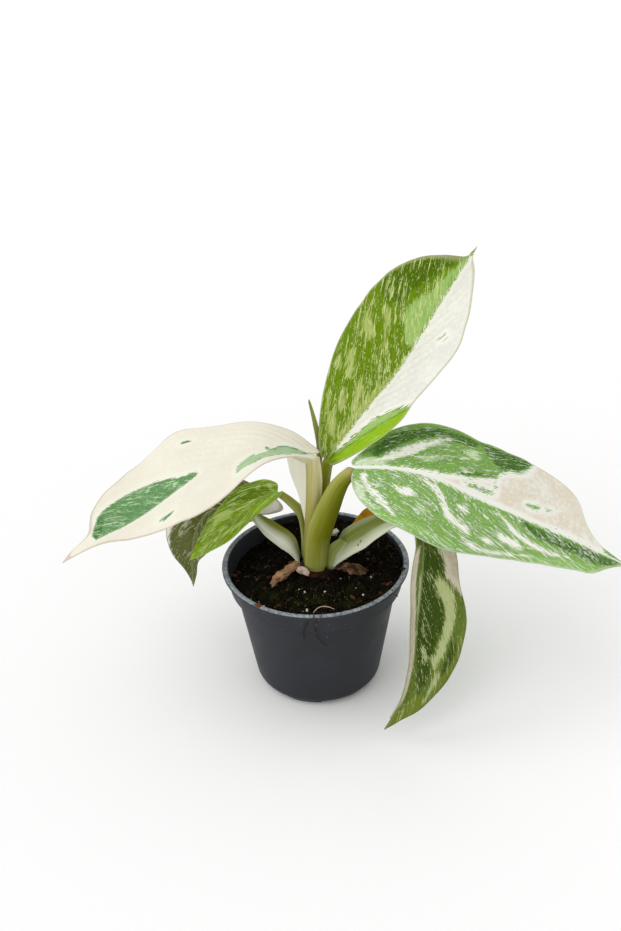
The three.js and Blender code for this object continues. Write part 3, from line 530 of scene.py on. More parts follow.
def linear(code):
    """Linear red, green and blue of a colour written as six hexadecimal digits."""
    parts = [int(code[k:k + 2], 16) / 255 for k in (0, 2, 4)]
    return tuple(p / 12.92 if p <= 0.04045 else ((p + 0.055) / 1.055) ** 2.4 for p in parts)


def length(name, description, value):
    """Property for a length, given in millimetres."""
    return FloatProperty(name=name, description=description, default=value * MM, min=0, unit="LENGTH",
                         precision=4)


def colour(name, description, code):
    """Property for a colour, given as six hexadecimal digits."""
    return FloatVectorProperty(name=name, description=description, default=linear(code), size=3, min=0, max=1,
                               subtype="COLOR")


# Shapes

def ease(t, low=0.0, high=1.0):
    """Smooth step: 0 below low, 1 above high, and 3t^2 - 2t^3 between them."""
    t = np.clip((np.asarray(t, float) - low) / (high - low), 0, 1)
    return t * t * (3 - 2 * t)


def spline(points, s):
    """Uniform Catmull-Rom curve through the points, s running from 0 at the first to 1 at the last, with the
    line through the two end points carried on by one step as the outer neighbours."""
    p = np.asarray(points, float)
    if p.ndim == 1:
        return spline(p[:, None], s)[..., 0]
    p = np.vstack([2 * p[0] - p[1], p, 2 * p[-1] - p[-2]])
    place = np.clip(np.asarray(s, float), 0, 1) * (len(points) - 1)
    i = np.minimum(place.astype(int), len(points) - 2)
    f = (place - i)[..., None]
    a, b, c, d = p[i], p[i + 1], p[i + 2], p[i + 3]
    return 0.5 * (2 * b + (c - a) * f + (2 * a - 5 * b + 4 * c - d) * f**2 + (3 * b - a - 3 * c + d) * f**3)


def even(values, t):
    """Value of an evenly spread list at t from 0 to 1, on straight lines between its members."""
    values = np.asarray(values, float)
    if len(values) == 1:
        return np.broadcast_to(values[0], np.shape(t) + values.shape[1:])
    stops = np.linspace(0, 1, len(values))
    if values.ndim == 1:
        return np.interp(t, stops, values)
    return np.stack([np.interp(t, stops, values[:, k]) for k in range(values.shape[1])], -1)


def unit(v):
    """Vectors at length 1."""
    return v / np.maximum(np.linalg.norm(v, axis=-1, keepdims=True), 1e-9)


def circle(sides):
    """Angles spread evenly round a circle."""
    return np.linspace(0, FULL_TURN, sides, endpoint=False)


def spread(table, down, across):
    """Value of a table at shares from 0 to 1 down its rows and across its columns, on straight lines."""
    table = np.asarray(table, float)
    rows, columns = table.shape
    i = np.minimum((down * (rows - 1)).astype(int), rows - 2)
    j = np.minimum((across * (columns - 1)).astype(int), columns - 2)
    f, g = down * (rows - 1) - i, across * (columns - 1) - j
    upper = table[i, j] * (1 - g) + table[i, j + 1] * g
    lower = table[i + 1, j] * (1 - g) + table[i + 1, j + 1] * g
    return upper * (1 - f) + lower * f


class Line:
    """Smooth line through points, measured along its length."""

    def __init__(self, points):
        self.dense = spline(points, np.linspace(0, 1, LINE_STEPS + 1))
        steps = np.linalg.norm(np.diff(self.dense, axis=0), axis=1)
        self.run = np.concatenate([[0], np.cumsum(steps)])
        self.length = self.run[-1]

    def place(self, distance):
        """Points at a distance along the line."""
        return np.stack([np.interp(distance, self.run, self.dense[:, k]) for k in range(3)], -1)

    def at(self, distance, faces):
        """Where the line is, the way it runs, the way its face looks and the way across, to its right. Past
        its ends the line runs on straight, and the face is the listed direction made square to the line."""
        inside = np.clip(distance, 0, self.length)
        behind = np.maximum(inside - DIRECTION_REACH, 0)
        ahead = np.minimum(inside + DIRECTION_REACH, self.length)
        travel = unit(self.place(ahead) - self.place(behind))
        point = self.place(inside) + travel * (distance - inside)[..., None]
        face = unit(even(faces, inside / self.length))
        face = unit(face - travel * (face * travel).sum(-1, keepdims=True))
        return point, travel, face, np.cross(travel, face)


def lumps(x, y, size, seed):
    """Smooth random height from -1 to 1: random values at the corners of squares of this size, eased
    between. It repeats after 64 squares."""
    cells = 64
    grid = np.random.default_rng(seed).uniform(-1, 1, (cells, cells))
    u, v = x / size, y / size
    i, j = np.floor(u).astype(int), np.floor(v).astype(int)
    f, g = ease(u - i), ease(v - j)

    def corner(a, b):
        return grid[(i + a) % cells, (j + b) % cells]

    near = corner(0, 0) * (1 - f) + corner(1, 0) * f
    far = corner(0, 1) * (1 - f) + corner(1, 1) * f
    return near * (1 - g) + far * g


def skin(rings):
    """Closed surface over an array of rings, with a point in the middle of each end ring. Returns the points
    and the four- and three-cornered faces, turned so that the volume inside is positive."""
    count, sides = rings.shape[:2]
    points = np.concatenate([rings.reshape(-1, 3), rings[:1].mean(1), rings[-1:].mean(1)])
    first = np.arange(count - 1)[:, None] * sides + np.arange(sides)
    second = np.arange(count - 1)[:, None] * sides + (np.arange(sides) + 1) % sides
    quads = np.stack([first, second, second + sides, first + sides], -1).reshape(-1, 4)
    rim = np.arange(sides)
    turn = (rim + 1) % sides
    low = np.stack([np.full(sides, count * sides), turn, rim], -1)
    last = (count - 1) * sides
    high = np.stack([np.full(sides, count * sides + 1), last + rim, last + turn], -1)
    faces = [quads, np.concatenate([low, high])]
    volume = sum((points[f[:, 0]] * np.cross(points[f[:, k]], points[f[:, k + 1]])).sum()
                 for f in faces for k in range(1, f.shape[1] - 1))
    return points, [f[:, ::-1] if volume < 0 else f for f in faces]


class Piece:
    """Points, faces and point values of one piece, gathered surface by surface."""

    def __init__(self):
        self.points, self.faces, self.finish, self.values = [], [], [], []
        self.count = 0

    def add(self, points, faces, finish=0, **values):
        """One more surface, with the finish its faces take and any values at its points."""
        self.points.append(points)
        self.faces += [f + self.count for f in faces]
        self.finish += [np.full(len(f), finish) for f in faces]
        self.values.append((self.count, len(points), values))
        self.count += len(points)

    def add_rings(self, rings, finish=0, **values):
        """A skin over rings. Values are given at the rings' points; an end point takes its ring's mean."""
        points, faces = skin(rings)
        full = {}
        for name, value in values.items():
            value = np.broadcast_to(value, rings.shape[:2] + np.shape(value)[2:])
            flat = value.reshape((-1,) + value.shape[2:])
            full[name] = np.concatenate([flat, value[:1].mean(1), value[-1:].mean(1)])
        self.add(points, faces, finish, **full)

    def store(self, name, materials, node=None, slot=None, sharp=40):
        """Mesh object of the piece, riding on the frame's body in place of its node."""
        mesh = bpy.data.meshes.new(name)
        points = np.concatenate(self.points) * MM
        totals = np.concatenate([np.full(len(f), f.shape[1]) for f in self.faces])
        mesh.vertices.add(len(points))
        mesh.vertices.foreach_set("co", points.ravel())
        mesh.loops.add(int(totals.sum()))
        mesh.loops.foreach_set("vertex_index", np.concatenate([f.ravel() for f in self.faces]))
        mesh.polygons.add(len(totals))
        mesh.polygons.foreach_set("loop_start", np.concatenate([[0], np.cumsum(totals)[:-1]]))
        mesh.polygons.foreach_set("loop_total", totals)
        mesh.polygons.foreach_set("material_index", np.concatenate(self.finish))
        mesh.update(calc_edges=True)
        for key in sorted({key for _, _, values in self.values for key in values}):
            wide = next(np.ndim(values[key]) for _, _, values in self.values if key in values) == 2
            full = np.zeros((self.count, 3) if wide else self.count)
            for start, count, values in self.values:
                if key in values:
                    full[start:start + count] = values[key]
            layer = mesh.attributes.new(key, "FLOAT_VECTOR" if wide else "FLOAT", "POINT")
            layer.data.foreach_set("vector" if wide else "value", full.ravel())
        mesh.shade_smooth()
        mesh.set_sharp_from_angle(angle=math.radians(sharp))
        for material in materials:
            mesh.materials.append(material)
        made = bpy.data.objects.new(name, mesh)
        bpy.context.scene.collection.objects.link(made)
        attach(made, BODY)
        if node:
            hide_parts(node)
        return made


# Shader wiring

BLADE_COLOURS = ("Green", "Deep", "Pale", "Fleck", "Mint", "Bright", "Cream", "Blush", "Rib", "Margin",
                 "Under")


class Wiring:
    """Nodes of a material or group: each method adds one node and gives its output."""

    def __init__(self, tree):
        self.tree = tree

    def node(self, kind, inputs=None, **settings):
        """A node with its settings, and its inputs set or linked."""
        made = self.tree.nodes.new(kind)
        for key, value in settings.items():
            setattr(made, key, value)
        for key, value in (inputs or {}).items():
            self.feed(made.inputs[key], value)
        return made

    def feed(self, socket, value):
        """A socket's value: a link from another output, a number or a colour."""
        if isinstance(value, bpy.types.NodeSocket):
            self.tree.links.new(value, socket)
        elif socket.type == "RGBA" and len(value) == 3:
            socket.default_value = (*value, 1)
        else:
            socket.default_value = value

    def math(self, operation, a, b, c=0.0, clamp=False):
        """Arithmetic on numbers, its result held between 0 and 1 where clamp is set."""
        inputs = {0: a, 1: b, 2: c}
        return self.node("ShaderNodeMath", inputs, operation=operation, use_clamp=clamp).outputs[0]

    def blend(self, amount, low, high):
        """Colour between two colours."""
        made = self.node("ShaderNodeMix", data_type="RGBA")
        for key, value in ((0, amount), (6, low), (7, high)):
            self.feed(made.inputs[key], value)
        return made.outputs[2]

    def step(self, value, low, high, start=0.0, end=1.0):
        """Smooth step of a value between two limits, from a start to an end."""
        inputs = {"Value": value, "From Min": low, "From Max": high, "To Min": start, "To Max": end}
        return self.node("ShaderNodeMapRange", inputs, interpolation_type="SMOOTHSTEP").outputs[0]

    def value(self, name, vector=False):
        """A value stored at the piece's points."""
        return self.node("ShaderNodeAttribute", attribute_name=name).outputs["Vector" if vector else "Fac"]

    def place(self):
        """Object coordinates."""
        return self.node("ShaderNodeTexCoord").outputs["Object"]

    def noise(self, vector, scale, detail, rough):
        """Noise from 0 to 1, its scale the number of lumps in one unit of the vector."""
        inputs = {"Vector": vector, "Scale": scale, "Detail": detail, "Roughness": rough}
        return self.node("ShaderNodeTexNoise", inputs).outputs[0]

    def parts(self, vector):
        """The three numbers of a vector."""
        return self.node("ShaderNodeSeparateXYZ", {0: vector}).outputs

    def vector(self, x, y, z):
        """A vector from three numbers."""
        return self.node("ShaderNodeCombineXYZ", {0: x, 1: y, 2: z}).outputs[0]


def new_group(name, inputs, outputs):
    """Empty shader group with named sockets: its wiring, its inputs and the node that takes its outputs."""
    group = bpy.data.node_groups.new(name, "ShaderNodeTree")
    kinds = {"colour": "NodeSocketColor", "number": "NodeSocketFloat"}
    for direction, sockets in (("INPUT", inputs), ("OUTPUT", outputs)):
        for key, (kind, default) in sockets.items():
            socket = group.interface.new_socket(key, in_out=direction, socket_type=kinds[kind])
            if direction == "INPUT":
                socket.default_value = (*default, 1) if kind == "colour" else default
    wiring = Wiring(group)
    return wiring, wiring.node("NodeGroupInput").outputs, wiring.node("NodeGroupOutput").inputs


def shared(name, build):
    """The shader group of that name, built when it is first asked for."""
    return bpy.data.node_groups.get(name) or build(name)


def grain_group(name):
    """Fine grain: noise of a given size in millimetres on Object coordinates, and a coarser clouding."""
    sockets = {"Size": ("number", 0.5), "Cloud Size": ("number", 8.0)}
    w, given, out = new_group(name, sockets, {"Grain": ("number", 0), "Cloud": ("number", 0)})
    place = w.place()
    w.feed(out["Grain"], w.noise(place, w.math("DIVIDE", 1 / MM, given["Size"]), 3.0, 0.6))
    w.feed(out["Cloud"], w.noise(place, w.math("DIVIDE", 1 / MM, given["Cloud Size"]), 3.0, 0.55))
    return w.tree


def streaks_group(name):
    """Streaks along the veins: noise that is squeezed across the veins and stretched along them."""
    sockets = {"Across": ("number", 1.0), "Along": ("number", 0.2), "Offset": ("number", 0.0)}
    w, given, out = new_group(name, sockets, {"Streaks": ("number", 0)})
    across, along, _ = w.parts(w.value("veins", vector=True))
    vector = w.vector(w.math("MULTIPLY", across, given["Across"]), w.math("MULTIPLY", along, given["Along"]),
                      given["Offset"])
    w.feed(out["Streaks"], w.noise(vector, 1.0, 2.0, 0.55))
    return w.tree


def streaked(w, across, along, offset):
    """Streaks with this many lumps to the millimetre across the veins and along them."""
    inputs = {"Across": across, "Along": along, "Offset": offset}
    tree = shared("Streaks Along Veins", streaks_group)
    return w.node("ShaderNodeGroup", inputs, node_tree=tree).outputs["Streaks"]


def variegation_group(name):
    """Blade colour: green of two depths in streaks along the veins, the patches with ragged edges, light
    flecks of three sizes, a midrib, a thin margin and a paler underside. Height is its relief."""
    sockets = {key: ("colour", linear("808080")) for key in BLADE_COLOURS}
    sockets |= {key: ("number", 1.0) for key in ("Raggedness", "Rib Strength", "Fleck Shortness")}
    w, given, out = new_group(name, sockets, {"Colour": ("colour", 0), "Height": ("number", 0)})

    def streaks(across, along, offset):
        """Streaks made shorter by the given shortness."""
        return streaked(w, across, w.math("MULTIPLY", given["Fleck Shortness"], along), offset)

    def total(*parts):
        """Sum of each value times its share."""
        whole = w.math("MULTIPLY", *parts[0])
        for value, part in parts[1:]:
            whole = w.math("MULTIPLY_ADD", value, part, whole)
        return whole

    def over(base, amount, strength, colour_over):
        """A colour laid over the base, as far as the amount times a strength."""
        return w.blend(w.math("MULTIPLY", amount, strength), base, colour_over)

    broad, middle, fine = streaks(0.4, 0.11, 3.0), streaks(1.15, 0.36, 11.0), streaks(2.3, 0.8, 23.0)
    speckle = w.noise(w.place(), 1500.0, 1.0, 0.5)

    # Millimetres by which the streaks move the edges of the patches, 6.2 being their mean
    ragged = w.math("SUBTRACT", total((broad, 2.4), (middle, 5.6), (fine, 4.4)), 6.2)
    ragged = w.math("MULTIPLY", ragged, given["Raggedness"])

    def patch(key, soft):
        """1 inside the patches of that kind and 0 outside, over an edge this many millimetres soft."""
        return w.step(w.math("ADD", w.value(key), ragged), -soft, soft)

    # Two greens, with the bright, deep, mint and pale patches
    tone = w.step(total((broad, 0.35), (middle, 0.4), (fine, 0.25)), 0.44, 0.58)
    base = over(given["Green"], tone, 0.65, given["Deep"])
    grainy = w.step(total((fine, 0.6), (middle, 0.4)), 0.36, 0.52, 0.35, 1.0)
    lively = w.math("MULTIPLY_ADD", grainy, 0.45, 0.55)
    base = over(base, w.math("MULTIPLY", patch("bright", 0.8), lively), 0.95, given["Bright"])
    deepened = over(given["Deep"], w.step(fine, 0.42, 0.62), 0.3, given["Green"])
    base = over(base, patch("deep", 0.4), 0.95, deepened)
    base = over(base, patch("mint", 0.6), lively, given["Mint"])
    fleck = w.value("fleck")
    veil = w.step(total((broad, 0.5), (middle, 0.5), (fleck, 0.06)), 0.56, 0.62)
    base = over(base, veil, 0.3, given["Pale"])
    base = over(base, w.math("MULTIPLY", patch("pale", 0.35), lively), 0.92, given["Pale"])

    # Flecks: long ones, thin ones and dots
    for parts, low, high, strength in (
            (((middle, 0.7), (broad, 0.3), (fleck, 0.07)), 0.615, 0.635, 0.8),
            (((fine, 0.65), (broad, 0.35), (fleck, 0.08)), 0.615, 0.635, 0.85),
            (((speckle, 0.75), (broad, 0.25), (fleck, 0.07)), 0.655, 0.685, 0.6)):
        base = over(base, w.step(total(*parts), low, high), strength, given["Fleck"])

    # Cream, clouded away from its edges
    cloud, spots = w.noise(w.place(), 110.0, 2.0, 0.5), w.noise(w.place(), 650.0, 2.0, 0.6)
    clouding = w.step(total((cloud, 0.45), (spots, 0.55)), 0.3, 0.62)
    cream = over(given["Cream"], clouding, w.step(w.value("cream"), 1.2, 3.2), given["Blush"])
    base = w.blend(patch("cream", 0.15), base, cream)

    # Midrib, margin and underside
    base = over(base, w.step(w.value("rib"), -0.3, 0.3, 1.0, 0.0), given["Rib Strength"], given["Rib"])
    base = over(base, w.step(w.value("margin"), 0.15, 0.6, 1.0, 0.0), 0.6, given["Margin"])
    w.feed(out["Colour"], over(base, w.value("under"), 0.45, given["Under"]))
    w.feed(out["Height"], total((speckle, 0.4), (fine, 0.5), (middle, 0.6)))
    return w.tree


def stripes_group(name):
    """Stalk colour: two greens and a pale colour by the stalk's tints, with faint stripes along it, a blush
    where it meets the blade, and dark spots. Height is its relief."""
    sockets = {key: ("colour", linear("808080")) for key in ("Green", "Shade", "Pale", "Blush")}
    w, given, out = new_group(name, sockets, {"Colour": ("colour", 0), "Height": ("number", 0)})
    broad, fine = streaked(w, 0.9, 0.03, 5.0), streaked(w, 3.0, 0.08, 9.0)
    change = w.math("SUBTRACT", w.math("MULTIPLY_ADD", broad, 0.6, w.math("MULTIPLY", fine, 0.5)), 0.55)
    shade = w.math("ADD", w.value("shade"), change, clamp=True)
    pale = w.math("ADD", w.value("pale"), change, clamp=True)
    base = w.blend(pale, w.blend(shade, given["Green"], given["Shade"]), given["Pale"])
    base = w.blend(w.value("blush"), base, given["Blush"])
    w.feed(out["Colour"], w.blend(w.value("spot"), base, linear(STALK_SPOT)))
    w.feed(out["Height"], fine)
    return w.tree


def new_material(name, roughness, specular):
    """New material with one Principled shader: the material, its wiring and the shader's inputs."""
    material = bpy.data.materials.new(name)
    material.use_nodes = True
    material.node_tree.nodes.clear()
    w = Wiring(material.node_tree)
    inputs = {"Roughness": roughness, "Specular IOR Level": specular}
    shader = w.node("ShaderNodeBsdfPrincipled", inputs)
    w.node("ShaderNodeOutputMaterial", {"Surface": shader.outputs[0]})
    return material, w, shader.inputs


def bump(w, height, distance, strength):
    """Normal from a height, given the millimetres that the height 1 stands for and how strongly it acts."""
    inputs = {"Height": height, "Distance": distance * MM, "Strength": strength}
    return w.node("ShaderNodeBump", inputs).outputs[0]


def grained(w, size, cloud_size):
    """Grain and clouding of these sizes in millimetres."""
    inputs = {"Size": size, "Cloud Size": cloud_size}
    return w.node("ShaderNodeGroup", inputs, node_tree=shared("Grain", grain_group)).outputs


def blade_material(name, look, raggedness, rib, shortness):
    """Living leaf, satin, with the colours of that leaf."""
    material, w, shader = new_material(name, 0.5, 0.07)
    inputs = {"Raggedness": raggedness, "Rib Strength": rib, "Fleck Shortness": shortness}
    made = w.node("ShaderNodeGroup", inputs, node_tree=shared("Variegation", variegation_group))
    for key in BLADE_COLOURS:
        w.feed(made.inputs[key], tuple(getattr(look, key.lower())))
    w.feed(shader["Base Color"], made.outputs["Colour"])
    w.feed(shader["Normal"], bump(w, made.outputs["Height"], 0.12, 0.4))
    return material


def stalk_material(name, look):
    """Living stalk, satin, with lengthwise stripes."""
    material, w, shader = new_material(name, 0.5, 0.06)
    made = w.node("ShaderNodeGroup", {"Green": tuple(look.stalk), "Shade": tuple(look.stalk_shade),
                                      "Pale": tuple(look.stalk_pale), "Blush": linear(STALK_BLUSH)},
                  node_tree=shared("Stalk Stripes", stripes_group))
    w.feed(shader["Base Color"], made.outputs["Colour"])
    w.feed(shader["Normal"], bump(w, made.outputs["Height"], 0.1, 0.3))
    return material


def pot_material(look):
    """Matt black plastic with a fine moulding grain, rubbed clouds, dry dust on the lip and in specks, and
    dirt in the corner under the collar."""
    material, w, shader = new_material("pot_plastic", 0.55, 0.12)
    made, fine = grained(w, 0.35, 14.0), grained(w, 0.9, 3.5)
    _, _, height = w.parts(w.place())

    def rise(low, high):
        """Smooth step between two heights in millimetres."""
        return w.step(height, low * MM, high * MM)

    # Painted highlight: the top of the lip turns to the colour of the dust, broken up by grain
    on_lip = rise(POT_HEIGHT - 0.6, POT_HEIGHT - 0.1)
    lip_highlight = w.math("MULTIPLY", on_lip, w.step(fine["Grain"], 0.3, 0.65, 0.3, 1.0))
    specks = w.math("MULTIPLY", rise(20, POT_HEIGHT), w.step(fine["Grain"], 0.66, 0.72))
    base = w.blend(w.step(made["Cloud"], 0.35, 0.7), tuple(look.colour), tuple(look.rubbed))
    base = w.blend(w.math("MULTIPLY", specks, 0.25), base, tuple(look.dust))
    base = w.blend(lip_highlight, base, tuple(look.dust))
    # Painted shade: a dark line in the corner under the collar, where the collar keeps the light off
    corner = w.math("MULTIPLY", rise(COLLAR_BOTTOM - 1.2, COLLAR_BOTTOM - 0.6),
                    rise(COLLAR_BOTTOM + 0.4, COLLAR_BOTTOM - 0.2))
    w.feed(shader["Base Color"], w.blend(w.math("MULTIPLY", corner, 0.75), base, linear(COLLAR_SHADE)))
    w.feed(shader["Roughness"], w.step(made["Cloud"], 0.3, 0.7, 0.42, 0.55))
    w.feed(shader["Normal"], bump(w, made["Grain"], 0.03, 0.4))
    return material


def mix_material(look):
    """Damp peat: near-black brown with lighter crumbs and a green tint of moss towards the front."""
    material, w, shader = new_material("damp_peat", 0.95, 0.05)
    made = grained(w, 0.9, 6.0)
    grain, cloud = made["Grain"], made["Cloud"]
    base = w.blend(w.step(grain, 0.45, 0.75), tuple(look.peat), tuple(look.crumb))
    _, depth, _ = w.parts(w.place())
    moss = w.math("MULTIPLY", w.step(depth, -2 * MM, -20 * MM), w.step(cloud, 0.46, 0.62))
    w.feed(shader["Base Color"], w.blend(w.math("MULTIPLY", moss, 0.8), base, tuple(look.moss)))
    w.feed(shader["Normal"], bump(w, grain, 0.5, 0.9))
    return material


def chip_material(name, dark, light, roughness):
    """Loose chips, fibres and bracts: each point's tone lies between a dark and a light colour, with
    grain."""
    material, w, shader = new_material(name, roughness, 0.1)
    made = grained(w, 0.5, 2.0)
    change = w.math("MULTIPLY_ADD", made["Cloud"], 0.8, -0.4)
    tone = w.math("ADD", w.value("tone"), change, clamp=True)
    w.feed(shader["Base Color"], w.blend(tone, tuple(dark), tuple(light)))
    w.feed(shader["Normal"], bump(w, made["Grain"], 0.15, 0.6))
    return material


def store_chips(piece, name, dark, light, roughness, node=None, slot="potting_mix"):
    """Store a piece with the chip material of its name."""
    piece.store(name, [chip_material(name, dark, light, roughness)], node, slot)


# Forms of the pieces

def rounded(profile, radius, steps=5):
    """Profile with each inner corner cut by a curve: from a point short of the corner, bending at the corner,
    to a point past it, never further than half of either side."""
    p = np.asarray(profile, float)
    bends = []
    for before, corner, after in zip(p[:-2], p[1:-1], p[2:]):
        reach = min(radius, np.linalg.norm(corner - before) * 0.45, np.linalg.norm(after - corner) * 0.45)
        start = corner + unit(before - corner) * reach
        end = corner + unit(after - corner) * reach
        t = np.linspace(0, 1, steps)[:, None]
        bends.append(start * (1 - t) ** 2 + corner * 2 * t * (1 - t) + end * t**2)
    return np.concatenate([p[:1], *bends, p[-1:]])


def squared(wave, power=0.35):
    """Sine or cosine drawn out towards -1 and 1, so that a circle becomes a rounded square."""
    return np.sign(wave) * np.abs(wave) ** power


def turned(profile, sides):
    """Rings of a profile of radius and height turned round the Z axis."""
    angle = circle(sides)
    r, z = profile[:, 0, None], profile[:, 1, None]
    return np.stack([r * np.cos(angle), r * np.sin(angle), np.broadcast_to(z, (len(profile), sides))], -1)


def wall_inside(z, wall):
    """Inner radius of the pot at a height, on straight lines between the profile's corners."""
    heights = [FLOOR_TOP, WALL_BOTTOM, COLLAR_BOTTOM - 0.6, COLLAR_BOTTOM + 0.6, POT_HEIGHT - 2.1, POT_HEIGHT]
    radii = [FOOT_RADIUS - wall, WALL_BOTTOM_RADIUS - wall, WALL_TOP_RADIUS - wall, COLLAR_RADIUS - wall,
             RIM_RADIUS - LIP_WIDTH - 0.4, RIM_RADIUS - LIP_WIDTH]
    return np.interp(z, heights, radii)


def mix_height(x, y):
    """Level of the mix: small mounds, a dip along the left back and a rise towards the wall."""
    mounds = 0.5 * np.sin(0.62 * x + 1) * np.cos(0.55 * y - 0.4) + 0.35 * np.sin(1.15 * x - 0.8 * y + 2)
    radius = np.hypot(x, y)
    away = np.abs(np.arctan2(y, -x) - 0.45)
    dip = 5 * ease(radius, 14, 30) * (1 - ease(away, 0.25, 0.95))
    mound = 1.2 * ease(radius, 16, 30) * np.where(x > 0, 1, 0.4)
    return MIX_LEVEL + mounds - dip + mound


def crumbs(x, y):
    """Lumps of the mix's surface, from large to small."""
    return 0.45 * lumps(x, y, 3.1, 1) + 0.4 * lumps(x, y, 1.5, 2) + 0.25 * lumps(x, y, 0.8, 3)


def on_mix(spots, lift=0.0):
    """Points at the x and y of the spots, on the mix's surface and raised by a lift."""
    x, y = np.asarray(spots)[:, :2].T
    return np.stack([x, y, mix_height(x, y) + crumbs(x, y) + lift], -1)


def share_within(spots, radius):
    """Factor that brings each spot outside a radius back to it and leaves the others in place."""
    return np.minimum(1, radius / np.hypot(spots[:, 0], spots[:, 1]))[:, None]


def tube(point, across, face, radius, sides, sunk=0):
    """Round rings about each point of a line, sunk by a share of their radius."""
    angle = circle(sides)[None, :, None]
    side, lift = across[:, None] * np.cos(angle), face[:, None] * (np.sin(angle) - sunk)
    return point[:, None] + radius[:, None, None] * (side + lift)


def stalk_rings(leaf, tints, rings=110, sides=96):
    """Rings of a stalk round its line: half an ellipse on the outer side, and on the inner side the same
    depth times the hollow. A winged stalk is round to its wing's start and thin beyond it, and its wing runs
    on upwards past the end. Its foot and its last rings draw in. Also returns the values of its colours, with
    veins that are 40 mm apart on its two sides, so that their stripes differ."""
    line = Line(leaf["stalk"])
    distance = np.linspace(0, line.length, rings)[:, None]
    t = distance / line.length
    angle = np.broadcast_to(circle(sides), (rings, sides))
    cosine, sine = np.cos(angle), np.sin(angle)
    point, travel, face, across = line.at(distance[:, 0], leaf["stalk_face"])
    wing = leaf.get("wing")
    draw_in = 0.82 + 0.18 * ease(t, 0, 0.05)
    if not wing:
        draw_in = draw_in * np.sqrt(1 - ease(t, 0.97, 1.0) ** 2 * 0.9)
    side = cosine * np.where(cosine > 0, even(leaf["stalk_right"], t), even(leaf["stalk_left"], t)) * draw_in
    hollow = np.where(sine > 0, even(leaf["hollow"], t), 1)
    lift = sine * even(leaf["depth"], t) * draw_in
    blade = np.zeros_like(side)
    if wing:
        blade = ease(side, wing - 0.3, wing + 0.2)
        round_part = np.sqrt(np.clip(1 - (side / wing) ** 2, 0, 1))
        outer = even(leaf["depth"], t) * np.maximum(round_part, 0.2 * np.abs(sine))
        lift = np.where(sine < 0, -outer * (np.abs(sine) > 0), lift * (1 - blade))
    where = point[:, None] + across[:, None] * side[..., None] + face[:, None] * (lift * hollow)[..., None]
    if wing:
        climb = ease(t, 0.75, 1) * (1.3 + 0.5 * np.clip(side - wing, 0, 12))
        where = where + travel[:, None] * climb[..., None]
    veins = np.stack(np.broadcast_arrays(side + 20 * np.sign(sine), distance, 0.0), -1)
    values = {key: spread(tints[key], t, (cosine + 1) / 2) for key in ("pale", "shade")}
    values["pale"] = np.maximum(values["pale"], blade)
    return where, values | {"veins": veins, "blush": np.zeros_like(side), "spot": np.zeros_like(side)}


def stalk_spots(rings):
    """Dark spots at the points of a stalk's rings, 0.9 inside each spot and 0 outside."""
    share = np.linspace(0, 1, len(rings))[:, None]
    width = np.cos(circle(rings.shape[1]))
    radius = STALK_SPOTS["radius"]
    spots = np.zeros(rings.shape[:2])
    for along, across in zip(STALK_SPOTS["along"], STALK_SPOTS["across"]):
        away = np.hypot((share - along) * STALK_SPOTS["length"], (width - across) * STALK_SPOTS["half_width"])
        spots = np.maximum(spots, 0.9 * ease(away, 1.4 * radius, 0.6 * radius))
    return spots


def blade_point(leaf, line, x, y, raised):
    """Point x along the flat midrib and y out from it: out across the midrib, turned up by the fold plus the
    curl for each millimetre, with a wave that grows to the margin, and raised off the middle surface. The
    crease at the midrib is rounded, and the wave of the right half runs 1.3 radians ahead."""
    point, _, face, across = line.at(x, leaf["face"])
    soft = np.sqrt(y**2 + CREASE**2)
    right = ease(y, -CREASE, CREASE)
    fold, curl = (a * (1 - right) + b * right for a, b in (leaf["fold"], leaf["curl"]))
    angle = np.radians(fold + curl * np.abs(y))
    height, cycles, phase = leaf["wave"]
    widest = max(corner[1] for corner in leaf["left"])
    wave = height * (y / widest) ** 2 * np.sin(cycles * FULL_TURN * x / line.length + phase + 1.3 * right)
    out = y / soft
    up = face * np.cos(angle)[..., None] - across * (out * np.sin(angle))[..., None]
    lifted = (soft - CREASE) * np.sin(angle)
    middle = point + across * (y * np.cos(angle))[..., None] + face * lifted[..., None]
    return middle + up * (wave + raised)[..., None]


def patch_depth(x, y, outline):
    """Distance in from the smooth outline of a patch, minus outside it: the least distance to its edges, with
    the sign from how often a line to the right crosses them."""
    ring = spline(outline + outline[:1], np.linspace(0, 1, 6 * len(outline) + 1))
    a, b = ring[:-1], ring[1:]
    px, py = x[..., None], y[..., None]
    run = b - a
    along = (px - a[:, 0]) * run[:, 0] + (py - a[:, 1]) * run[:, 1]
    t = np.clip(along / np.maximum((run**2).sum(1), 1e-9), 0, 1)
    far = np.hypot(px - a[:, 0] - t * run[:, 0], py - a[:, 1] - t * run[:, 1]).min(-1)
    straddles = (a[:, 1] > py) != (b[:, 1] > py)
    rise = np.where(run[:, 1] == 0, 1e-9, run[:, 1])
    crossing = a[:, 0] + (py - a[:, 1]) / rise * run[:, 0]
    inside = (straddles & (px < crossing)).sum(-1) % 2 == 1
    return np.where(inside, far, -far)


def depth_of(marks, x, y):
    """Largest depth in any of the marks, held between -6 and 6."""
    depths = [patch_depth(x, y, mark) for mark in marks]
    return np.clip(np.max([np.full(x.shape, -6.0), *depths], axis=0), -6, 6)


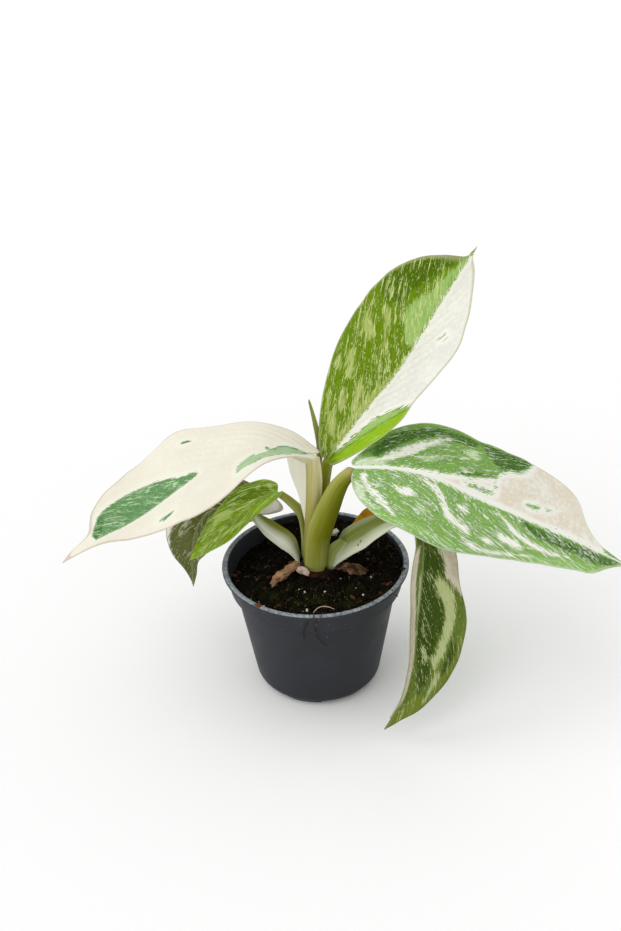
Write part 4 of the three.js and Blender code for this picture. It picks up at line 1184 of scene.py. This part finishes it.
def blade_rings(leaf, marks, flecks, all_cream, rows=150, columns=34):
    """Rings of a blade: each runs over the upper side from the left margin to the right along the veins, and
    back below. A vein leaves the midrib at its length times u to the power 1.25 and sweeps forward to the
    outline's point u. The blade is thickest at the midrib, which is a groove above. Also returns the values
    of its colours; in an all-cream blade the islands alone are green, and its tip has no margin."""
    line = Line(leaf["midrib"])
    u = np.linspace(0.003, 0.997, rows)[:, None]
    s = np.linspace(-1, 1, 2 * columns + 1)[None, :]
    v = np.sign(s) * np.abs(s) ** 1.3
    left, right = spline(leaf["left"], u[:, 0]), spline(leaf["right"], u[:, 0])
    start = line.length * u**1.25
    edge_x = np.where(v < 0, left[:, :1], right[:, :1])
    edge_y = np.where(v < 0, np.abs(left[:, 1:]), np.abs(right[:, 1:]))
    edge_y = edge_y * (1 + 0.012 * lumps(edge_x, 9 * np.sign(v), 5, 7))
    x = start + (edge_x - start) * np.abs(v) ** VEIN_SWEEP
    y = v * edge_y
    across_veins = x - leaf["lean"] * np.abs(y) * (1 + 0.35 * v**2)
    half = HALF_THICKNESS - THINNING * np.abs(v) ** 3
    taper = 1 - 0.6 * ease(x, 0.8 * line.length, line.length)
    groove = GROOVE * np.exp(-((y / CREASE) ** 2)) * taper
    ridges = RIDGE_HEIGHT * np.sin(across_veins * FULL_TURN / RIDGE_SPACING)
    relief = ridges * (1 - v**2) * ease(np.abs(y), 0.5, 4)
    relief = relief + SWELLING * lumps(x, y, SWELLING_SIZE, 21) * ease(np.abs(y), 0, 5)
    top = blade_point(leaf, line, x, y, half - groove + relief)
    under = blade_point(leaf, line, x, y, -half + relief)
    depths = {key: depth_of(marks.get(key, []), x, y) for key in ("mint", "pale", "deep", "bright")}
    cream, island = (depth_of(marks.get(key, []), x, y) for key in ("cream", "island"))
    margin = (1 - np.abs(v)) * np.maximum(edge_y, 5)
    if all_cream:
        cream = 6.0
        margin = margin * (1 - ease(x, 0.93 * line.length, 0.97 * line.length))
    values = depths | {
        "veins": np.stack([across_veins, y, x], -1), "cream": np.minimum(cream, -island),
        "fleck": flecks[0] + (flecks[1] - flecks[0]) * ease(y, -1, 1),
        "rib": np.abs(y) - (0.7 - 0.45 * x / line.length), "margin": margin,
    }
    rings = np.concatenate([top, under[:, ::-1]], 1)
    values = {key: np.concatenate([value, value[:, ::-1]], 1) for key, value in values.items()}
    values["under"] = np.concatenate([np.zeros_like(x), np.ones_like(x)], 1)
    return rings, values


def rib_rings(leaf, radius, tip_radius=0.45, rings=60, sides=14):
    """Rings of the rib under a blade: round, sunk by its radius, and thinning towards its tip."""
    line = Line(leaf["midrib"])
    t = np.linspace(0, 0.94, rings)
    point, _, face, across = line.at(t * line.length, leaf["face"])
    return tube(point, across, face, radius + (tip_radius - radius) * t, sides, 1)


def husk_rings(size, width, wrap, rise, seed, rows=44, columns=22):
    """Rings of a papery husk along its own X axis: a sheet bent by the angle wrap to each side of its ridge,
    its radius half the width less 0.45 times the square of the place along it, crumpled and torn at random,
    with a middle that rises. Also returns the crumpling."""
    u = np.linspace(-1, 1, rows)[:, None]
    a = np.linspace(-1, 1, columns)[None, :]
    crumple = 0.22 * lumps(u * size / 2, a * 3, 2.2, seed) + 0.14 * lumps(u * size / 3, a * 5, 0.7, seed + 1)
    torn = 1 + 0.14 * lumps(a * 5, 0 * a, 1.1, seed + 2)
    layers = []
    for inset in (0, PAPER):
        radius = (width / 2 - inset) * (1 - 0.45 * u**2) * (1 + crumple)
        high = radius * np.cos(a * wrap) * 0.7 + rise * (1 - u**2)
        layers.append(np.stack([size / 2 * u * torn, radius * np.sin(a * wrap), high], -1))
    # Painted shade and light: lighter where the crumpling bulges out, darker where it sinks in
    tone = crumple * 2.2 - 0.35 * ease(np.abs(a), 0.7, 1)
    return np.concatenate([layers[0], layers[1][:, ::-1]], 1), np.concatenate([tone, tone[:, ::-1] - 0.3], 1)


def turns(count, rng):
    """Random rotation matrices, from unit quaternions."""
    w, x, y, z = unit(rng.normal(size=(count, 4))).T
    return np.stack([
        np.stack([1 - 2 * (y * y + z * z), 2 * (x * y - z * w), 2 * (x * z + y * w)], -1),
        np.stack([2 * (x * y + z * w), 1 - 2 * (x * x + z * z), 2 * (y * z - x * w)], -1),
        np.stack([2 * (x * z - y * w), 2 * (y * z + x * w), 1 - 2 * (x * x + y * y)], -1)], 1)


def icosahedron():
    """Corners and faces of a regular icosahedron of radius 1."""
    g = (1 + math.sqrt(5)) / 2
    corners = [(0, a, b * g) for a in (-1, 1) for b in (-1, 1)]
    corners = unit(np.array([np.roll(c, k) for k in range(3) for c in corners], float))
    near = np.linalg.norm(corners[:, None] - corners, axis=-1) < 1.1
    faces = [(i, j, k) for i in range(12) for j in range(i + 1, 12) for k in range(j + 1, 12)
             if near[i, j] and near[j, k] and near[i, k]]

    def outward(face):
        a, b, c = corners[list(face)]
        return face if np.dot(a, np.cross(b, c)) > 0 else face[::-1]

    return corners, np.array([outward(face) for face in faces])


def chips(piece, places, sizes, rng, tone, ragged=0.25):
    """Loose chips: an icosahedron at each place, its corners pushed in and out, stretched and turned
    at random."""
    corners, faces = icosahedron()
    count = len(places)
    shape = corners * (1 + ragged * rng.uniform(-1, 1, (count, 12, 1))) * sizes[:, None, :]
    points = np.einsum("nij,nkj->nki", turns(count, rng), shape) + places[:, None, :]
    all_faces = (faces[None] + 12 * np.arange(count)[:, None, None]).reshape(-1, 3)
    piece.add(points.reshape(-1, 3), [all_faces], tone=np.repeat(tone, 12))


def thread(piece, path, radius, tone, steps, sides=5):
    """Thin thread along a smooth path, drawn to a point at both ends."""
    line = Line(path)
    distance = np.linspace(0, line.length, steps)
    point, _, face, across = line.at(distance, [[0.31, 0.2, 0.93]])
    t = distance / line.length
    rings = tube(point, across, face, radius * np.sqrt(np.clip(4.2 * t * (1 - t) + 0.02, 0, 1)), sides)
    piece.add_rings(rings, tone=tone)


# Settings

class PotLook(bpy.types.PropertyGroup):
    """Size and colours of the pot."""
    wall: length("Wall", "Thickness of the pot's wall", 1)
    colour: colour("Plastic", "Colour of the pot", "2b2c30")
    rubbed: colour("Rubbed plastic", "Colour where the pot is rubbed", "303137")
    # Colour of the dust specks on the wall, and of the painted highlight on the lip
    dust: colour("Dust", "Dry dust on the lip", "a0a8b0")


class MixLook(bpy.types.PropertyGroup):
    """Colours of the potting mix and how much lies loose on it."""
    peat: colour("Peat", "Damp peat", "0d0b06")
    crumb: colour("Crumb", "Drier crumbs", "1a150c")
    moss: colour("Moss", "Green tint", "22260b")
    chip: colour("Chip", "Light bark chips", "4e3b26")
    fibre: colour("Fibre", "Pale fibres", "c2ab98")
    grains: IntProperty(name="Grains", description="Number of loose grains", default=2600, min=0, max=5000)
    perlite: IntProperty(name="Perlite", description="Number of scattered white grains", default=10, min=0,
                         max=200)
    grain_size: length("Grain size", "Radius of a loose grain", 0.42)


class CrownLook(bpy.types.PropertyGroup):
    """Colours of the crown and the dry pieces round it."""
    bark: colour("Bark", "Crown, in the scars", "240f0a")
    flesh: colour("Flesh", "Crown, between the scars", "5e3324")
    bract: colour("Bract", "Papery bract", "b28a68")
    bract_dark: colour("Bract shade", "Papery bract, dark", "33200f")
    withered: colour("Withered", "Dry leaf", "eaa628")


def leaf_look(title, **codes):
    """Settings of one leaf: its colours by name, each as six hexadecimal digits."""
    words = {"green": "Main green", "deep": "Deep green", "pale": "Pale flecks", "mint": "Mint patches",
             "fleck": "Fine flecks", "bright": "Bright patches", "cream": "Cream",
             "blush": "Clouding of the cream", "rib": "Midrib", "margin": "Margin", "under": "Underside",
             "stalk": "Stalk", "stalk_shade": "Stalk shade", "stalk_pale": "Stalk edge"}
    made = {key: colour(words[key], words[key] + " of the leaf", codes[key]) for key in words}
    contents = {"__annotations__": made, "__doc__": "Colours of one leaf."}
    return type(title, (bpy.types.PropertyGroup,), contents)


UprightLook = leaf_look(
    "UprightLook", green="6a8a06", deep="466200", pale="b0bd6e", fleck="ccd88c", mint="9cc06a",
    bright="90ba1a", cream="efede3", blush="e2e0d8", rib="b9cc7a", margin="b2b686", under="a9bd60",
    stalk="98a22c", stalk_shade="747c14", stalk_pale="c8c8a0")
LeftLook = leaf_look(
    "LeftLook", green="65915a", deep="3e6e34", pale="b4d0a4", fleck="b4d0a4", mint="a9c698",
    bright="8fb070", cream="ecead9", blush="e9e3d2", rib="f2f0de", margin="c2ac9c", under="e0dcc4",
    stalk="b8af60", stalk_shade="9c963c", stalk_pale="f8f5e6")
RightLook = leaf_look(
    "RightLook", green="86b256", deep="345c16", pale="d4e2c0", fleck="edf3e4", mint="aece92",
    bright="8ab85c", cream="f1f0e6", blush="e2d8c4", rib="edf0e4", margin="c4cdb0", under="c9d8b4",
    stalk="878c0a", stalk_shade="5e6000", stalk_pale="c0c27c")
HangingLook = leaf_look(
    "HangingLook", green="66792a", deep="2a4000", pale="b6bf88", fleck="c0c890", mint="98a469",
    bright="6c7a24", cream="c8bfaa", blush="b0a68e", rib="8f9a66", margin="6c7838", under="8c9668",
    stalk="828e40", stalk_shade="5f6b24", stalk_pale="d8dcc6")
SmallLook = leaf_look(
    "SmallLook", green="82a60c", deep="5a7c00", pale="c4d87e", fleck="d4e49a", mint="a9c867",
    bright="94c41e", cream="e8eecf", blush="dfe5c4", rib="b9d47c", margin="98b44e", under="a9c878",
    stalk="9fa24c", stalk_shade="82862e", stalk_pale="c8cc94")
BackLook = leaf_look(
    "BackLook", green="5e6234", deep="484f18", pale="9a9e80", fleck="b4b89c", mint="9a9e80",
    bright="7c8046", cream="e2ddd4", blush="cfc8bc", rib="8c9066", margin="7c8060", under="a4a888",
    stalk="8a8f38", stalk_shade="6f7420", stalk_pale="f0f2e6")
LEAF_LOOKS = {"leaf_upright": UprightLook, "leaf_left": LeftLook, "leaf_right": RightLook,
              "leaf_hanging": HangingLook, "leaf_small": SmallLook, "leaf_back": BackLook}


class StageLook(bpy.types.PropertyGroup):
    """Floor and light."""
    floor: colour("Floor", "Colour of the floor", "ffffff")
    floor_size: FloatProperty(name="Floor size", description="Side of the floor", default=12, unit="LENGTH")
    key: FloatProperty(name="Key light", description="Strength of the broad light", default=1.0)
    sky: FloatProperty(name="Light from above", description="Strength of the light overhead", default=0.66)
    horizon: FloatProperty(name="Low light", description="Strength of the light low down", default=1.0)


class PlantSettings(bpy.types.PropertyGroup):
    """All settings of the plant."""
    pot: PointerProperty(type=PotLook)
    mix: PointerProperty(type=MixLook)
    crown: PointerProperty(type=CrownLook)
    stage: PointerProperty(type=StageLook)


for leaf_name, leaf_class in LEAF_LOOKS.items():
    PlantSettings.__annotations__[leaf_name] = PointerProperty(type=leaf_class)


def settings():
    """The scene's settings of the plant."""
    return bpy.context.scene.plant


# Operators

class PLANT_OT_pot(bpy.types.Operator):
    """Make the pot: a turned wall with a rolled lip, a collar, arc feet and drain holes"""
    bl_idname = "plant.pot"
    bl_label = "Pot"

    def execute(self, context):
        look = settings().pot
        wall = look.wall / MM
        lip_inner = RIM_RADIUS - LIP_WIDTH
        profile = [
            (0, 0), (PAD_RADIUS, 0), (PAD_RADIUS + 0.6, FLOOR_UNDERSIDE),
            (FOOT_RADIUS - 0.8, FLOOR_UNDERSIDE), (FOOT_RADIUS, FLOOR_UNDERSIDE + 0.3),
            (WALL_BOTTOM_RADIUS - 0.5, WALL_BOTTOM - 1.4), (WALL_BOTTOM_RADIUS, WALL_BOTTOM),
            (WALL_TOP_RADIUS, COLLAR_BOTTOM - 0.5), (COLLAR_RADIUS - 0.3, COLLAR_BOTTOM - 0.2),
            (COLLAR_RADIUS, COLLAR_BOTTOM + 0.3), (RIM_RADIUS - 1.3, POT_HEIGHT - 1.8),
            (RIM_RADIUS - 0.3, POT_HEIGHT - 1.5), (RIM_RADIUS, POT_HEIGHT - 1.1),
            (RIM_RADIUS, POT_HEIGHT - 0.5), (RIM_RADIUS - 0.5, POT_HEIGHT), (lip_inner + 0.5, POT_HEIGHT),
            (lip_inner, POT_HEIGHT - 0.4), (lip_inner - 0.4, POT_HEIGHT - 2.1),
            (COLLAR_RADIUS - wall, COLLAR_BOTTOM + 0.6), (WALL_TOP_RADIUS - wall, COLLAR_BOTTOM - 0.6),
            (WALL_BOTTOM_RADIUS - wall, WALL_BOTTOM + 0.2), (FOOT_RADIUS - 1, FLOOR_TOP), (0, FLOOR_TOP),
        ]
        body = Piece()
        body.add_rings(turned(np.maximum(rounded(profile, 0.3), [1e-3, 0]), 200))
        middle = (FOOT_RING["inner"] + FOOT_RING["outer"]) / 2
        half = (FOOT_RING["outer"] - FOOT_RING["inner"]) / 2
        high = FOOT_RING["half_height"]
        corner = circle(24)
        section_r = middle + half * squared(np.cos(corner))
        section_z = high + high * squared(np.sin(corner))
        for k in range(FOOT_RING["arcs"]):
            start = FOOT_RING["turn"] + k * FULL_TURN / FOOT_RING["arcs"]
            angle = start + np.linspace(0, FOOT_RING["spread"], 30)[:, None]
            foot = (section_r * np.cos(angle), section_r * np.sin(angle), section_z)
            body.add_rings(np.stack(np.broadcast_arrays(*foot), -1))
        made = body.store("pot_moulding", [pot_material(look)], "pot", "pot", 35)
        cutters = Piece()
        for k in range(DRAIN_HOLES["count"]):
            angle = (k + 0.5) * FULL_TURN / DRAIN_HOLES["count"]
            hole = turned(np.array([(DRAIN_HOLES["radius"], z) for z in (-2.0, 6.0)]), 32)
            hole[..., 0] += DRAIN_HOLES["circle"] * math.cos(angle)
            hole[..., 1] += DRAIN_HOLES["circle"] * math.sin(angle)
            cutters.add_rings(hole)
        cutter = cutters.store("drain_holes", [])
        cut = made.modifiers.new("Drain holes", "BOOLEAN")
        cut.object, cut.operation, cut.solver = cutter, "DIFFERENCE", "EXACT"
        cut.use_self = True
        context.view_layer.update()
        dressed = made.evaluated_get(context.evaluated_depsgraph_get())
        drilled = bpy.data.meshes.new_from_object(dressed)
        made.modifiers.clear()
        made.data = drilled
        bpy.data.objects.remove(cutter)
        return {"FINISHED"}


class PLANT_OT_mix(bpy.types.Operator):
    """Make the potting mix, filling the pot up to its uneven top"""
    bl_idname = "plant.mix"
    bl_label = "Potting mix"

    def execute(self, context):
        wall = settings().pot.wall / MM
        sides = 300
        angle = circle(sides)[None, :]
        below = [(0.5, FLOOR_TOP + GAP), (FOOT_RADIUS - 2.2, FLOOR_TOP + GAP)]
        heights = (WALL_BOTTOM + 0.6, 20, COLLAR_BOTTOM - 1, COLLAR_BOTTOM + 1)
        below += [(wall_inside(z, wall) - GAP, z) for z in heights]
        lower = turned(np.array(below), sides)
        s = np.linspace(1, 0, 110)[:, None]
        hole = CROWN["radius"] - GAP
        outer = wall_inside(MIX_LEVEL, wall) - 0.1
        x = s * outer * np.cos(angle) + (1 - s) * (CROWN["x"] + hole * np.cos(angle))
        y = s * outer * np.sin(angle) + (1 - s) * (CROWN["y"] + hole * np.sin(angle))
        z = mix_height(x, y) + crumbs(x, y)
        z[0] = np.minimum(z[0], POT_HEIGHT - 2)
        top = np.stack([x, y, z], -1)
        bottom = CROWN["bottom"] + 0.2
        pit = [np.stack([x[-1], y[-1], np.full(sides, z)], -1)[None] for z in (44.0, bottom)]
        middle = np.array([CROWN["x"], CROWN["y"], bottom])
        floor = (pit[1] - middle) * 0.1 + middle
        body = Piece()
        body.add_rings(np.concatenate([lower, top, *pit, floor]))
        body.store("mix_bed", [mix_material(settings().mix)], "potting_mix", "potting_mix", 80)
        return {"FINISHED"}


class PLANT_OT_litter(bpy.types.Operator):
    """Scatter grains, white perlite, bark, fibres and root hairs on the mix and over the rim"""
    bl_idname = "plant.litter"
    bl_label = "Loose grains and fibres"

    def execute(self, context):
        look = settings().mix
        rng = np.random.default_rng(5)

        def scattered(count):
            """Random points on the mix."""
            inner, outer = LITTER_RING
            radius = np.sqrt(rng.uniform(inner**2, outer**2, count))
            angle = rng.uniform(0, FULL_TURN, count)
            return on_mix(np.stack([radius * np.cos(angle), radius * np.sin(angle)], -1))

        def sizes(count, size, flat=0.6):
            """Random half widths about a size, each chip's least being this flat."""
            return size * rng.uniform(0.45, 1.25, (count, 1)) * rng.uniform(flat, 1.3, (count, 3))

        size = look.grain_size / MM
        grains = Piece()
        chips(grains, scattered(look.grains), sizes(look.grains, size), rng,
              np.clip(rng.normal(-0.05, 0.25, look.grains), 0, 1))
        coarse = look.grains // 9
        chips(grains, scattered(coarse), sizes(coarse, 2 * size), rng,
              np.clip(rng.normal(-0.1, 0.2, coarse), 0, 1))
        store_chips(grains, "mix_grains", look.peat, look.chip, 0.95)
        white = Piece()
        chips(white, scattered(look.perlite), sizes(look.perlite, 0.35, 0.8), rng,
              rng.uniform(0.2, 0.9, look.perlite))
        count = len(PERLITE)
        chips(white, on_mix(PERLITE, 0.2), np.array(PERLITE)[:, 2:] * rng.uniform(0.6, 0.9, (count, 3)), rng,
              rng.uniform(0.4, 0.95, count))
        store_chips(white, "perlite", linear(PERLITE_DARK), linear(PERLITE_LIGHT), 0.7)
        bark = Piece()
        chips(bark, scattered(BARK_COUNT) + [0, 0, 0.3], sizes(BARK_COUNT, 1.0, 0.25), rng,
              rng.uniform(0, 0.6, BARK_COUNT), 0.35)
        rim_bits, tones = np.array(RIM_BITS)[:, :3], np.array(RIM_BITS)[:, 3]
        chips(bark, rim_bits, sizes(len(RIM_BITS), 0.8, 0.5), rng, tones, 0.35)
        nearby = rim_bits[rng.integers(0, 3, CLUMP_COUNT)]
        clumps = nearby + rng.normal(0, 1, (CLUMP_COUNT, 3)) * CLUMP_SPREAD
        clumps[:, :2] *= share_within(clumps, RIM_RADIUS - 1.4)
        chips(bark, clumps + [0, 0, 0.1], sizes(CLUMP_COUNT, 0.6, 0.4), rng,
              rng.uniform(0, 0.5, CLUMP_COUNT), 0.35)
        store_chips(bark, "bark_bits", linear(BARK_DARK), linear(BARK_LIGHT), 0.8)
        fibres = Piece()
        for start in scattered(FIBRE_COUNT):
            way = rng.uniform(0, FULL_TURN)
            reach = rng.uniform(1.5, 5)
            bend = rng.uniform(-1, 1)
            path = [start + [t * reach * math.cos(way + bend * t), t * reach * math.sin(way + bend * t),
                             0.5 * math.sin(math.pi * t) + 0.2] for t in np.linspace(0, 1, 5)]
            thread(fibres, path, rng.uniform(0.06, 0.12), rng.uniform(0, 0.4), 10)
        patch = rng.normal(0, 1, (MOSS_COUNT, 2)) * MOSS_SPREAD + MOSS_MIDDLE
        patch *= share_within(patch, 30)
        moss = Piece()
        chips(moss, on_mix(patch, 0.2), sizes(MOSS_COUNT, 0.27), rng, rng.uniform(0, 1, MOSS_COUNT) ** 3)
        store_chips(moss, "moss_crumbs", look.moss, linear(MOSS_LIGHT), 0.9)
        for points, radius, tone in ROOT_HAIRS:
            thread(fibres, points, radius, tone, 30, 7)
        store_chips(fibres, "fibres", linear(FIBRE_DARK), look.fibre, 0.7)
        return {"FINISHED"}


class PLANT_OT_crown(bpy.types.Operator):
    """Make the crown that the stalks stand on"""
    bl_idname = "plant.crown"
    bl_label = "Crown"

    def execute(self, context):
        look = settings().crown
        t = np.linspace(0, 1, 50)[:, None]
        angle = circle(90)[None, :]
        neck = CROWN["top"] - CROWN["cap"]
        up, over = t / CROWN["shoulder"], (t - CROWN["shoulder"]) / (1 - CROWN["shoulder"])
        radius = CROWN["radius"] * np.where(over < 0, 1, np.sqrt(np.clip(1 - over**2, 0.003, 1)))
        z = np.where(over < 0, CROWN["bottom"] + (neck - CROWN["bottom"]) * up,
                     neck + (CROWN["cap"] - 0.1) * np.sin(np.clip(over, 0, 1) * math.pi / 2))
        scars = 0.25 * np.sin(z * 2.6 + 1.5 * np.sin(2 * angle)) * ease(t, 0.3, 0.5)
        out = radius - GAP + scars * (radius / CROWN["radius"])
        x = CROWN["x"] + out * np.cos(angle)
        y = CROWN["y"] + out * np.sin(angle)
        lump = 0.3 * lumps(x, y, 2.2, 41)
        rings = np.stack([x, y, z + lump * ease(t, 0.6, 0.8)], -1)
        body = Piece()
        body.add_rings(rings, tone=np.clip(0.3 + 1.4 * scars + 0.6 * lump, 0, 1))
        store_chips(body, "crown_bark", look.bark, look.flesh, 0.6, "crown", "crown")
        return {"FINISHED"}


class PLANT_OT_leaves(bpy.types.Operator):
    """Make the six leaves, each a stalk, a rib and a blade in one piece"""
    bl_idname = "plant.leaves"
    bl_label = "Leaves"

    def execute(self, context):
        for name, leaf in LEAVES.items():
            look = getattr(settings(), name)
            title = name.split("_")[1] + "_leaf"
            blade = blade_material(title + "_blade", look, *SURFACE[name])
            stalk = stalk_material(title + "_stalk", look)
            body = Piece()
            rings, values = blade_rings(leaf, MARKS[name], FLECKS[name], name == "leaf_left")
            body.add_rings(rings, **values)
            rings, values = stalk_rings(leaf, TINTS[name])
            if name == "leaf_right":
                share = np.linspace(0, 1, len(rings))[:, None]
                values["blush"] = 0.3 * ease(share, 0.9, 0.98) * ease(share, 1.02, 0.97)
            if name == "leaf_hanging":
                values["spot"] = stalk_spots(rings)
                sheath, tint = stalk_rings(SHEATH, TINTS["sheath"], 50, 40)
                tint["spot"] = 0.7 * ease(np.linspace(0, 1, len(sheath))[:, None], 0.16, 0.02)
                body.add_rings(sheath, 1, **tint)
            body.add_rings(rings, 1, **values)
            rings = rib_rings(leaf, 0.8 * leaf["depth"][-1])
            body.add_rings(rings, 1, pale=0.35)
            body.store(title, [blade, stalk], name, name, 50)
        return {"FINISHED"}


class PLANT_OT_new_leaf(bpy.types.Operator):
    """Make the rolled new leaf and the withered one behind the stalks"""
    bl_idname = "plant.new_leaf"
    bl_label = "New and withered leaf"

    def execute(self, context):
        rings, values = stalk_rings(NEW_LEAF, TINTS["new_leaf"], 90, 40)
        body = Piece()
        body.add_rings(rings, **values)
        stalk = stalk_material("rolled_leaf", settings().leaf_back)
        body.store("rolled_leaf", [stalk], "new_leaf", "new_leaf")
        rings, _ = stalk_rings(WITHERED_LEAF, TINTS["new_leaf"], 60, 40)
        rings = rings + 0.25 * lumps(rings[..., 0], rings[..., 2], 1.6, 51)[..., None]
        dry = Piece()
        dry.add_rings(rings, tone=np.clip(0.75 + 0.3 * lumps(rings[..., 0], rings[..., 2], 3, 52), 0, 1))
        store_chips(dry, "dry_leaf", linear(WITHERED_DARK), settings().crown.withered, 0.6, "withered_leaf",
                    "withered_leaf")
        return {"FINISHED"}


class PLANT_OT_bracts(bpy.types.Operator):
    """Make the dry papery bracts lying round the crown"""
    bl_idname = "plant.bracts"
    bl_label = "Bracts"

    def execute(self, context):
        look = settings().crown
        for seed, (name, bract) in enumerate(BRACTS.items()):
            form = [bract[key] for key in ("length", "width", "wrap", "rise")]
            rings, crumple = husk_rings(*form, 60 + 5 * seed)
            turn = np.array(Euler(bract["turn"], "XYZ").to_matrix())
            rings = rings @ turn.T + np.array(bract["at"])
            body = Piece()
            # The tone from the crumpling paints shade into the hollows and light onto the bulges
            body.add_rings(rings, tone=np.clip(bract["tone"] + crumple, 0, 1))
            light = linear(PALE_BRACT) if name == "bract_pale" else look.bract
            store_chips(body, name.split("_")[1] + "_bract", look.bract_dark, light, 0.65, name, "bract")
        return {"FINISHED"}


class PLANT_OT_stage(bpy.types.Operator):
    """Make the pale floor, the soft light and the camera"""
    bl_idname = "plant.stage"
    bl_label = "Stage"

    def execute(self, context):
        look = settings().stage
        scene = context.scene
        half = look.floor_size / 2
        mesh = bpy.data.meshes.new("floor")
        corners = [(-half, -half, 0), (half, -half, 0), (half, half, 0), (-half, half, 0)]
        mesh.from_pydata(corners, [], [(0, 1, 2, 3)])
        material, w, shader = new_material("floor", 0.9, 0.0)
        w.feed(shader["Base Color"], tuple(look.floor))
        mesh.materials.append(material)
        floor = bpy.data.objects.new("floor", mesh)
        scene.collection.objects.link(floor)
        world = bpy.data.worlds.new("studio")
        world.use_nodes = True
        w = Wiring(world.node_tree)
        light = world.node_tree.nodes["Background"].inputs
        w.feed(light["Color"], (1, 1, 1))
        _, _, up = w.parts(w.node("ShaderNodeTexCoord").outputs["Generated"])
        w.feed(light["Strength"], w.step(up, 0.3, 0.8, look.horizon, look.sky))
        scene.world = world
        lamp = bpy.data.lights.new("key", "SUN")
        lamp.angle, lamp.energy = math.radians(KEY_SPREAD), look.key
        key = bpy.data.objects.new("key", lamp)
        key.matrix_world = Matrix.Translation(KEY_PLACE) @ Euler(KEY_TURN).to_matrix().to_4x4()
        scene.collection.objects.link(key)
        data = bpy.data.cameras.new("camera")
        data.lens, data.sensor_width, data.clip_start = CAMERA_LENS, SENSOR_WIDTH, 0.01
        camera = bpy.data.objects.new("camera", data)
        pitch = Matrix.Rotation(math.radians(CAMERA_PITCH), 4, "X")
        roll = Matrix.Rotation(math.radians(CAMERA_ROLL), 4, "Z")
        camera.matrix_world = Matrix.Translation(CAMERA_PLACE) @ pitch @ roll
        scene.collection.objects.link(camera)
        scene.camera = camera
        scene.view_settings.view_transform = "Standard"
        return {"FINISHED"}


class PLANT_PT_panel(bpy.types.Panel):
    """Buttons for every piece of the plant"""
    bl_idname = "PLANT_PT_panel"
    bl_label = "Potted Philodendron"
    bl_space_type = "VIEW_3D"
    bl_region_type = "UI"
    bl_category = "Plant"

    def draw(self, context):
        for operator in OPERATORS:
            self.layout.operator(operator.bl_idname)


OPERATORS = (PLANT_OT_stage, PLANT_OT_pot, PLANT_OT_mix, PLANT_OT_litter, PLANT_OT_crown, PLANT_OT_leaves,
             PLANT_OT_new_leaf, PLANT_OT_bracts)
CLASSES = (PotLook, MixLook, CrownLook, *LEAF_LOOKS.values(), StageLook, PlantSettings, *OPERATORS,
           PLANT_PT_panel)


def register():
    """Add the settings, operators and panel to Blender."""
    for item in CLASSES:
        bpy.utils.register_class(item)
    bpy.types.Scene.plant = PointerProperty(type=PlantSettings)


def unregister():
    """Take them out again."""
    del bpy.types.Scene.plant
    for item in reversed(CLASSES):
        bpy.utils.unregister_class(item)


def main():
    """Make every piece in order and write down the sizes."""
    register()
    for operator in OPERATORS:
        group, name = operator.bl_idname.split(".")
        getattr(getattr(bpy.ops, group), name)()


if __name__ == "__main__":
    main()
